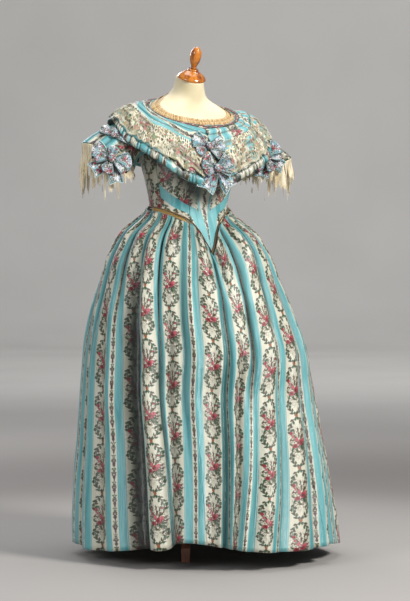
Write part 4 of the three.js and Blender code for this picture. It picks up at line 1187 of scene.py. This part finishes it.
def bowFrame(at, a, d, stepA, stepD, inside=None):
    # origin, right, up and outward on the surface at(a, d)
    here, beside = at(a, d), at(a + stepA, d) - at(a - stepA, d)
    above = at(a, d - stepD) - at(a, d + stepD)
    if inside is not None and np.dot(np.cross(beside, above), here - inside) < 0:
        beside = -beside
    right = unit(beside)
    outward = unit(np.cross(right, above))
    return here, right, np.cross(outward, right), outward


def tiePiece(frameAt, bow):
    # the parts of a bow, bent over the ground under it
    origin, right, up, outward = frameAt
    origin = origin + right * bow["move"][0] + up * bow["move"][1]
    patches = []
    for kind, shift, values in bow["parts"]:
        p, uv, rim, hollow = kind(*values)
        p = p + np.array((*shift, 0.0)[:3])
        sag = (p[..., 0] ** 2) / (2 * bow["ground"][0]) + (p[..., 1] ** 2) / (2 * bow["ground"][1])
        world = origin + p[..., :1] * right + p[..., 1:2] * up + (p[..., 2] - sag)[..., None] * outward
        patches.append(patch(world, uv, rim=rim, hollow=hollow))
    return patches


# parts: place of the knot's end in mm; loops: degrees, reach, half width, rise, lift, seed
# tails: degrees, reach, half width, lift, seed; knots: half width, half height, thickness, lift
bowUpper = [
    (loop, (0, 0), (158, 56, 27, 15, 2, 1.0)), (loop, (0, 0), (20, 56, 26, 16, 2, 2.3)),
    (loop, (0, -2), (205, 46, 19, 10, 3, 3.1)), (loop, (0, -2), (-30, 48, 19, 11, 3, 4.0)),
    (knot, (0, 0), (11, 12, 13, 8)),
]
bowLower = [
    (loop, (0, 2), (152, 50, 25, 15, 3, 5.2)), (loop, (0, 2), (30, 54, 26, 16, 3, 6.1)),
    (tail, (0, -2), (236, 66, 27, 5, 1.4)), (tail, (0, -2), (-50, 68, 28, 5, 2.2)),
    (loop, (0, 0), (188, 44, 18, 11, 5, 7.7)), (loop, (0, 0), (-8, 50, 20, 11, 5, 8.4)),
    (knot, (0, 0), (12, 13, 14, 9)),
]
bowSleeve = [
    (loop, (0, 0), (168, 62, 25, 17, 2, 1.7)), (loop, (0, 0), (16, 62, 26, 17, 2, 2.9)),
    (tail, (0, 0), (228, 60, 22, 3, 3.3)), (tail, (0, 0), (-56, 60, 23, 3, 4.1)),
    (loop, (0, 0), (100, 36, 17, 12, 4, 5.8)), (loop, (0, 0), (-96, 46, 19, 14, 5, 6.6)),
    (loop, (0, 0), (196, 52, 17, 12, 7, 9.1)), (loop, (0, 0), (-16, 52, 18, 12, 7, 9.9)),
    (knot, (0, 0), (12, 12, 13, 10)),
    (loop, (-14, 74, 4), (160, 42, 20, 12, 2, 7.1)), (loop, (-14, 74, 4), (15, 44, 21, 12, 2, 8.3)),
    (loop, (-14, 74, 4), (90, 30, 16, 9, 3, 8.9)), (knot, (-14, 74, 4), (9, 9, 9, 5)),
]
# around and down: place on the bertha, in degrees and share, or on the sleeve, in turns and share
# lift: mm; ground: radii of the surface under the bow, mm; move: mm right and up
bows = [
    {"name": "bow_upper", "around": -1.0, "down": 0.46, "lift": 3.0, "ground": (170, 400), "move": (0, -4),
     "parts": bowUpper, "flat": (0.12, 0.18), "area": 0.019, "on": "bertha_front_left_silk"},
    {"name": "bow_lower", "around": 0.5, "down": 0.8, "lift": 10.0, "ground": (150, 400), "move": (0, 3),
     "parts": bowLower, "flat": (0.12, 0.26), "area": 0.027, "on": "bertha_front_right_silk"},
    {"name": "sleeve_bow_left", "sign": 1, "around": 0.27, "down": 0.80, "lift": 4.5, "ground": (110, 230),
     "move": (-6, 12), "parts": bowSleeve, "flat": (0.12, 0.36), "area": 0.038, "on": "sleevePuff_left"},
    {"name": "sleeve_bow_right", "sign": -1, "around": 0.19, "down": 1.0, "lift": 5.5, "ground": (110, 230),
     "move": (14, -24), "parts": bowSleeve, "flat": (0.12, 0.36), "area": 0.038, "on": "sleevePuff_right"},
]
for bow in bows:
    out, sign = wall + bow["lift"], bow.get("sign")
    if sign:
        frameAt = bowFrame(lambda a, d: sleevePoint(sign, a, d, out), bow["around"], bow["down"], 0.03, 0.1,
                           (sign * 215, 0, 1190))
    else:
        frameAt = bowFrame(lambda a, d: berthaPoint(a, d, out), bow["around"], bow["down"], 2, 0.06)
    addPiece(bow["name"] + "_silk", tiePiece(frameAt, bow), silkBow, bow["name"], "silk", bow, "folded",
             bow["on"], thick=0.5)
print("bows made")


# dress form, cap, finial and stand

form = {"bottom": 790, "top": 1399, "columns": 121, "rows": 121}
turn = np.linspace(0, 360, form["columns"])
heights = np.linspace(form["bottom"], form["top"], form["rows"])
rings = [bodyPoint(turn, h, 0.0) for h in (form["bottom"], *heights, form["top"])]
for k in (0, -1):   # ends closed by rings drawn to their middle
    rings[k] = rings[k] * 0.02 + rings[k][:-1].mean(0) * 0.98
addPiece("formCovered", [patch(np.stack(rings), closed=True)], formCover, "form_body",
         "form_cover", thick=0)

# turned wood on the leaning neck: radius and height, mm, of each point of the profile, and the foot's height
turnedWood = {
    "lean": 22, "seat": (0, -20, form["top"]), "steps": 90, "sides": 64,
    "neckCap": ("neck_cap", 0.4, [
        (0, 0), (41.5, 0), (42.5, 4), (40, 9), (31, 17), (21, 23), (15, 26), (16.5, 29), (14, 32), (0, 32)]),
    "finialEgg": ("finial", 32.8, [
        (0, 0), (9, 0), (8, 7), (11.5, 14), (15.2, 24), (16.8, 38), (15.6, 50), (11.5, 59), (6, 64),
        (0, 66)]),
}


def softened(steps, values):
    # even steps along a profile, with its corners rounded
    at = np.interp(np.linspace(0, steps[-1], turnedWood["steps"]), steps, values)
    return np.convolve(np.pad(at, 2, "edge"), np.ones(5) / 5, "valid")[:, None]


lean = math.radians(turnedWood["lean"])
spin = np.linspace(0, 2 * math.pi, turnedWood["sides"] + 1)
for name in ("neckCap", "finialEgg"):
    node, base, profile = turnedWood[name]
    rows = np.array(profile, float)
    steps = np.concatenate([[0], np.hypot(*np.diff(rows, axis=0).T).cumsum()])
    radius, z = softened(steps, rows[:, 0]), softened(steps, rows[:, 1]) + base
    x, y = radius * np.cos(spin), radius * np.sin(spin)
    p = vec(x, y * math.cos(lean) - z * math.sin(lean), y * math.sin(lean) + z * math.cos(lean))
    addPiece(name, [patch(p + turnedWood["seat"], closed=True)], amberWood, node,
             "turned_wood", thick=0)
for node in ("hub", "pole", "leg_front", "leg_left", "leg_right"):
    kept = frame["nodes"][node].data.materials
    kept.clear()
    kept.append(brownWood)
print("form and stand made")


# floor, light and camera

def studioPlain():
    # pale floor with a painted shade ring about the stand, and painted light that makes it paler far off and up the
    # wall
    sh = Shader("floorPaper")
    where = sh.object()
    height = sh.parts(where)[2]
    out = sh.length(where * (1.0, 1.0, 0.0))
    # painted light: paler far off and up the wall
    far = sh.step(out, 2.6, 8.0).call("MAXIMUM", sh.step(height, 0.0, 1.6))
    colour = sh.blend("#A8A4A1", "#E4E2DF", far)
    # painted shade in a ring about the stand
    colour = sh.blend(colour, "#6E6A69", sh.step(out, 1.0, 2.0) * sh.step(out, 4.0, 2.2) * 0.6)
    colour = sh.blend(colour, "#8F8B88", sh.noise(where, 1.2, 2.0) * 0.2)
    return sh.finish(colour, 0.9, Specular_IOR_Level=0.2)


# places on the stage in metres: right of the pole, toward the camera, and up
camera = {"azimuth": -28, "distance": 7.0, "eye": 0.95, "aim": 0.748, "aside": 0.049, "tall": 1.773}
sweep = {"half": 15000, "deep": 12500, "bend": 2500, "tall": 9000}      # mm
lights = [  # place, watts, size in metres, colour, and what it is turned to
    {"name": "keySoft", "at": (2.6, 2.4, 2.9), "power": 185, "size": 0.9, "colour": (1.0, 0.98, 0.95)},
    {"name": "fillSoft", "at": (-3.0, 3.4, 2.2), "power": 80, "size": 2.0, "colour": (0.96, 0.98, 1.0)},
    {"name": "topSoft", "at": (0.2, -0.4, 3.6), "power": 40, "size": 2.0, "colour": (1.0, 1.0, 1.0)},
    {"name": "rearSoft", "at": (-1.8, -3.4, 2.8), "power": 55, "size": 2.0, "colour": (0.97, 0.98, 1.0)},
    {"name": "wallSoft", "at": (1.5, -7.0, 6.5), "power": 235, "size": 4.0, "colour": (1.0, 0.99, 0.97),
     "aim": (1.0, -14.0, 1.5)},
]
view = math.radians(camera["azimuth"])

u, bend = grid(-sweep["half"], sweep["half"], 41, 61)      # floor, a quarter round, and wall
arc = np.clip((bend - 0.5) / 0.25, 0, 1) * math.pi / 2
deep = np.where(bend < 0.5, mix(-sweep["deep"], sweep["deep"], bend / 0.5),
                sweep["deep"] + sweep["bend"] * np.sin(arc))
tall = np.where(bend < 0.75, sweep["bend"] * (1 - np.cos(arc)),
                mix(sweep["bend"], sweep["tall"], (bend - 0.75) / 0.25))
points = vec(u * math.cos(view) - deep * math.sin(view), u * math.sin(view) + deep * math.cos(view), tall)
rows, columns = points.shape[:2]
corner = (np.arange(rows - 1)[:, None] * columns + np.arange(columns - 1)).reshape(-1, 1)
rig.stage(addMesh("studioSweep", points.reshape(-1, 3) / 1000 + axis, corner + (0, 1, columns + 1, columns),
                 studioPlain()))


def onStage(right, near, up):
    return Vector(axis) + Vector((math.cos(view), math.sin(view), 0)) * right \
        + Vector((math.sin(view), -math.cos(view), 0)) * near + Vector((0, 0, up))


def stand(name, data, place, goal):
    made = bpy.data.objects.new(name, data)
    made.location = place
    made.rotation_euler = (goal - place).to_track_quat("-Z", "Y").to_euler()
    bpy.context.collection.objects.link(made)
    return made


data = bpy.data.cameras.new("studioCamera")
data.sensor_fit, data.sensor_height = "VERTICAL", 36
data.lens = 36 * camera["distance"] / camera["tall"]
data.clip_end = 60
eye = onStage(camera["aside"], camera["distance"], camera["eye"])
bpy.context.scene.camera = stand("studioCamera", data, eye, onStage(camera["aside"], 0, camera["aim"]))
for lamp in lights:
    data = bpy.data.lights.new(lamp["name"], "AREA")
    data.energy, data.size, data.color = lamp["power"], lamp["size"], lamp["colour"]
    stand(lamp["name"], data, onStage(*lamp["at"]), onStage(*lamp.get("aim", (0, 0, 0.8))))

world = bpy.data.worlds.new("studioWorld")
world.use_nodes = True
ambient = world.node_tree.nodes["Background"].inputs
ambient["Color"].default_value, ambient["Strength"].default_value = (0.80, 0.82, 0.85, 1), 0.31
bpy.context.scene.world = world
bpy.context.scene.view_settings.view_transform = "Standard"

low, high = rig.bounds()
with open("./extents.json", "w") as out:
    json.dump({"cad": [list(cadLow), list(cadHigh)], "visual": [list(low), list(high)]}, out)
print("size", [round(v, 3) for v in (*cadLow, *cadHigh)], [round(v, 3) for v in (*low, *high)])
